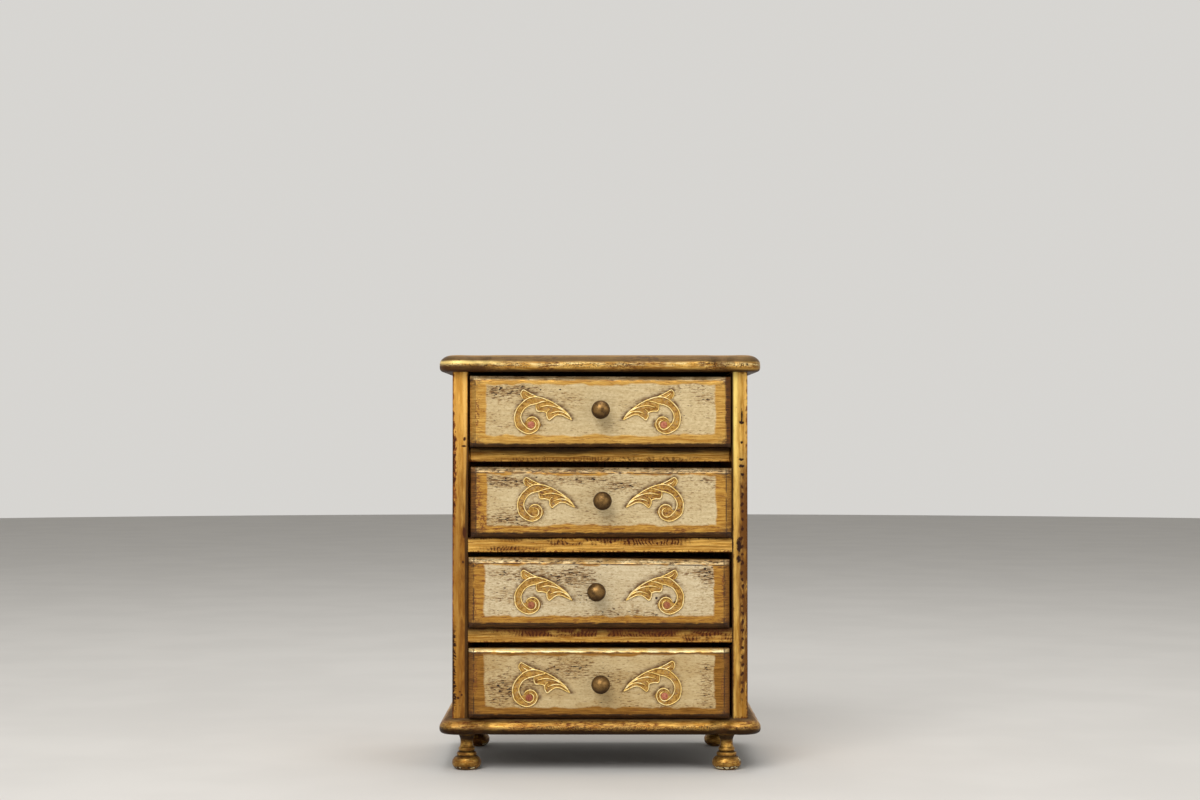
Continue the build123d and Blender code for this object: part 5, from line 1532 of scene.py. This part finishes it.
def grown(name, tree, values, points=()):          # runs a tree on a mesh of points
    mesh = bpy.data.meshes.new(name)
    mesh.from_pydata([tuple(p) for p in points] or [(0, 0, 0)], [], [])
    piece = bpy.data.objects.new(name, mesh)
    bpy.context.scene.collection.objects.link(piece)
    growth = piece.modifiers.new("grown", "NODES")
    growth.node_group = tree
    known = {item.name: item.identifier for item in tree.interface.items_tree
             if item.item_type == "SOCKET" and item.in_out == "INPUT"}
    for label, value in values.items():
        growth[known[label]] = value
    settle(piece)
    piece.data.shade_smooth()
    piece.data.set_sharp_from_angle(angle=math.radians(35))
    return piece


fasteners = fastenerTree()
backNails = {"across": 80.5, "first": 51.0, "step": 54.6667, "count": 4, "face": 62.0,
             "Head radius": 1.4, "Crown radius": 0.85, "Head height": 0.46, "Shank radius": 0.6,
             "Shank length": 10.0}
plateScrews = {"places": ((-25, -17), (-25, 17), (25, 17)), "face": 62.0, "shortBy": 1.0,
               "Head radius": 2.2,
               "Crown radius": 1.75, "Head height": 0.98, "Shank radius": 1.2,
               "Slot width": 0.5, "Slot depth": 1.1}
combScrews = {"spread": 12.0, "lift": 0.02, "crownShare": 0.85, "Shank radius": 1.0,
              "Shank length": 6.0, "Slot width": 0.4}
movementLevel = 212.6875


def fasten(name, node, finish, slotName, given, points, facing, seed):
    values = {key: value * mm for key, value in given.items() if key[0].isupper()}
    values["Slotted"] = "Slot width" in given
    values["Facing"] = facing
    values["Seed"] = seed
    values["Finish"] = finish
    piece = grown(name, fasteners, values, [Vector(p) * mm for p in points])
    join(piece, "carcass", slotName, [], node)


toBack, toFront = (-math.pi / 2, 0, 0), (math.pi / 2, 0, 0)
g = backNails
fasten("backPanelNails", "back_panel_nails", steelHead, "steel", g,
       [(side * g["across"], g["face"], g["first"] + g["step"] * k) for side in (-1, 1)
        for k in range(g["count"])], toBack, 4)
g = plateScrews
low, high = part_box("movement_screws")
g["Shank length"] = (high.y - low.y) / mm - g["shortBy"]
fasten("movementScrews", "movement_screws", steelHead, "steel", g,
       [(u, g["face"], movementLevel + v) for u, v in g["places"]], toBack, 7)
g = combScrews
low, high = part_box("comb_screws")
g["Head radius"] = (high.z - low.z) / 2 / mm
g["Head height"] = (high.y - low.y) / mm - g["Shank length"] - g["lift"]
g["Crown radius"] = g["Head radius"] * g["crownShare"]
g["Slot depth"] = g["Head height"]
middle = (low + high) / 2 / mm
fasten("combScrews", "comb_screws", steelHead, "steel", g,
       [(middle.x + side * g["spread"] / 2, low.y / mm + g["Head height"] + g["lift"], middle.z)
        for side in (-1, 1)], toFront, 9)

cylinder = {"radius": 6.5, "length": 20.0, "wall": 0.8, "bore": 0.95, "start": -1.2,
            "axisY": 42.56, "axisZ": 217.6875, "turns": 96, "notes": 18, "pitch": 1.0,
            "places": 46, "share": 0.3, "pinRadius": 0.15, "pinHeight": 0.68, "seed": 12}


def pinnedCylinder():
    c = cylinder
    end = c["start"] + c["length"]
    outside = [(c["radius"] - 0.15, c["start"]), (c["radius"], c["start"] + 0.15),
               (c["radius"], end - 0.15), (c["radius"] - 0.15, end)]
    inside = [(c["bore"], end), (c["bore"], end - c["wall"]),
              (c["radius"] - c["wall"], end - c["wall"]),
              (c["radius"] - c["wall"], c["start"] + c["wall"]),
              (c["bore"], c["start"] + c["wall"]), (c["bore"], c["start"])]
    place = Matrix.Translation((0, c["axisY"] * mm, c["axisZ"] * mm))
    shape = turned([(r * mm, u * mm) for r, u in outside + inside], c["turns"],
                   place @ Matrix.Rotation(math.pi / 2, 4, "Y"), closed=True)
    values = {"Notes": c["notes"], "Pitch": c["pitch"] * mm, "Places": c["places"],
              "Share": c["share"], "Pin radius": c["pinRadius"] * mm,
              "Pin length": (c["pinHeight"] + 0.4) * mm,
              "Reach": (c["radius"] - 0.2 + c["pinHeight"] / 2) * mm,
              "First": Vector((c["start"] + c["length"] / 2 - (c["notes"] - 1) / 2 * c["pitch"],
                               c["axisY"], c["axisZ"])) * mm,
              "Seed": c["seed"], "Finish": steel}
    pins = grown("cylinderPins", pinTree(), values)
    drum = asPiece(shape, "musicCylinder", smooth=35)
    whole = bmesh.new()
    whole.from_mesh(drum.data)
    old = len(whole.faces)
    whole.from_mesh(pins.data)
    whole.faces.ensure_lookup_table()
    for polygon in whole.faces[old:]:
        polygon.material_index = 1
    whole.to_mesh(drum.data)
    whole.free()
    bpy.data.objects.remove(pins)
    join(drum, "cylinder", "brass", [brass, steel], "music_cylinder")


pinnedCylinder()
for name, node, body, slotName, finish, width in (
    ("winderKey", "winding_key", "winding", "antique_brass", keySkin, 0.45),
    ("springBarrel", "spring_barrel", "carcass", "steel", steel, 0.3),
    ("movementBedplate", "movement_bedplate", "carcass", "zinc_alloy", zinc, 0.25),
    ("backPanel", "back_panel", "carcass", "plywood", plywood, 0.2),
):
    join(softened(name, node, width, 2), body, slotName, [finish], node)
dress(steel, "comb", "winding_arbor", "governor_worm", "stop_wire")
dress(springSteel, "mainspring")
dress(brass, "crown_wheel", "cylinder_arbor", "intermediate_wheel", "governor_frame")
print("movement made")


# Floor, light and camera

studio = {
    "floor": ("D2CFCA", "D6D3CE"), "floorRadius": 4, "world": "F0EEEA", "worldLight": 0.42,
    "shown": 0.78, "aim": (0, 0, 0.13),
    "lamps": {"keyLamp": ((-0.55, -1.5, 1.5), 29, 1.4), "fillLamp": ((1.3, -1.2, 0.7), 6, 1.2),
              "topLamp": ((0.1, 0.2, 1.8), 11, 1.2)},     # place, power and size
}


def plainFloor():
    shape = bmesh.new()
    bmesh.ops.create_circle(shape, cap_ends=True, radius=studio["floorRadius"], segments=96)
    floor = asPiece(shape, "floor")
    finish, shader, add, place = newFinish("paintedFloor")
    tone = patches(add, place, (90, 90, 90), 0.3, 0.7, 201, detail=2)
    colour = add("Mix", [tone, *studio["floor"]], data_type="RGBA")
    shader.id_data.links.new(next(s for s in colour.outputs if s.enabled),
                             shader.inputs["Base Color"])
    shader.inputs["Roughness"].default_value = 0.8
    floor.data.materials.append(finish)


def softLamp(name, place, power, size):
    lamp = bpy.data.lights.new(name, "AREA")
    lamp.shape = "DISK"
    lamp.size = size
    lamp.energy = power
    holder = bpy.data.objects.new(name, lamp)
    holder.location = place
    towards = Vector(studio["aim"]) - Vector(place)
    holder.rotation_euler = towards.to_track_quat("-Z", "Y").to_euler()
    bpy.context.scene.collection.objects.link(holder)


plainFloor()
for name, lamp in studio["lamps"].items():
    softLamp(name, *lamp)

world = bpy.data.worlds.new("plainRoom")
bpy.context.scene.world = world
world.use_nodes = True
room = partial(put, world.node_tree)
ray = room("LightPath")
shown = room("Math", [ray.outputs["Is Camera Ray"], ray.outputs["Is Glossy Ray"]],
             "MAXIMUM")
shown = room("Math", [shown, ray.outputs["Is Transmission Ray"]], "MAXIMUM")
strength = room("MapRange", [shown, 0, 1, studio["worldLight"], studio["shown"]])
backdrop = world.node_tree.nodes["Background"]
backdrop.inputs["Color"].default_value = linearColour(studio["world"])
world.node_tree.links.new(strength.outputs[0], backdrop.inputs["Strength"])

view = {"x": 0.0, "fromStiles": 1.3, "height": 0.19965, "pitch": 0.83, "focalPixels": 2203,
        "frameWidth": 1200, "sensor": 36}
camera = bpy.data.cameras.new("photoView")
camera.sensor_width = view["sensor"]
camera.lens = view["focalPixels"] * view["sensor"] / view["frameWidth"]
holder = bpy.data.objects.new("photoView", camera)
holder.location = (view["x"], carcassFront - view["fromStiles"], view["height"])
holder.rotation_euler = (math.radians(90 + view["pitch"]), 0, 0)
bpy.context.scene.collection.objects.link(holder)
bpy.context.scene.camera = holder
bpy.context.scene.view_settings.view_transform = "Standard"
print("stage set")
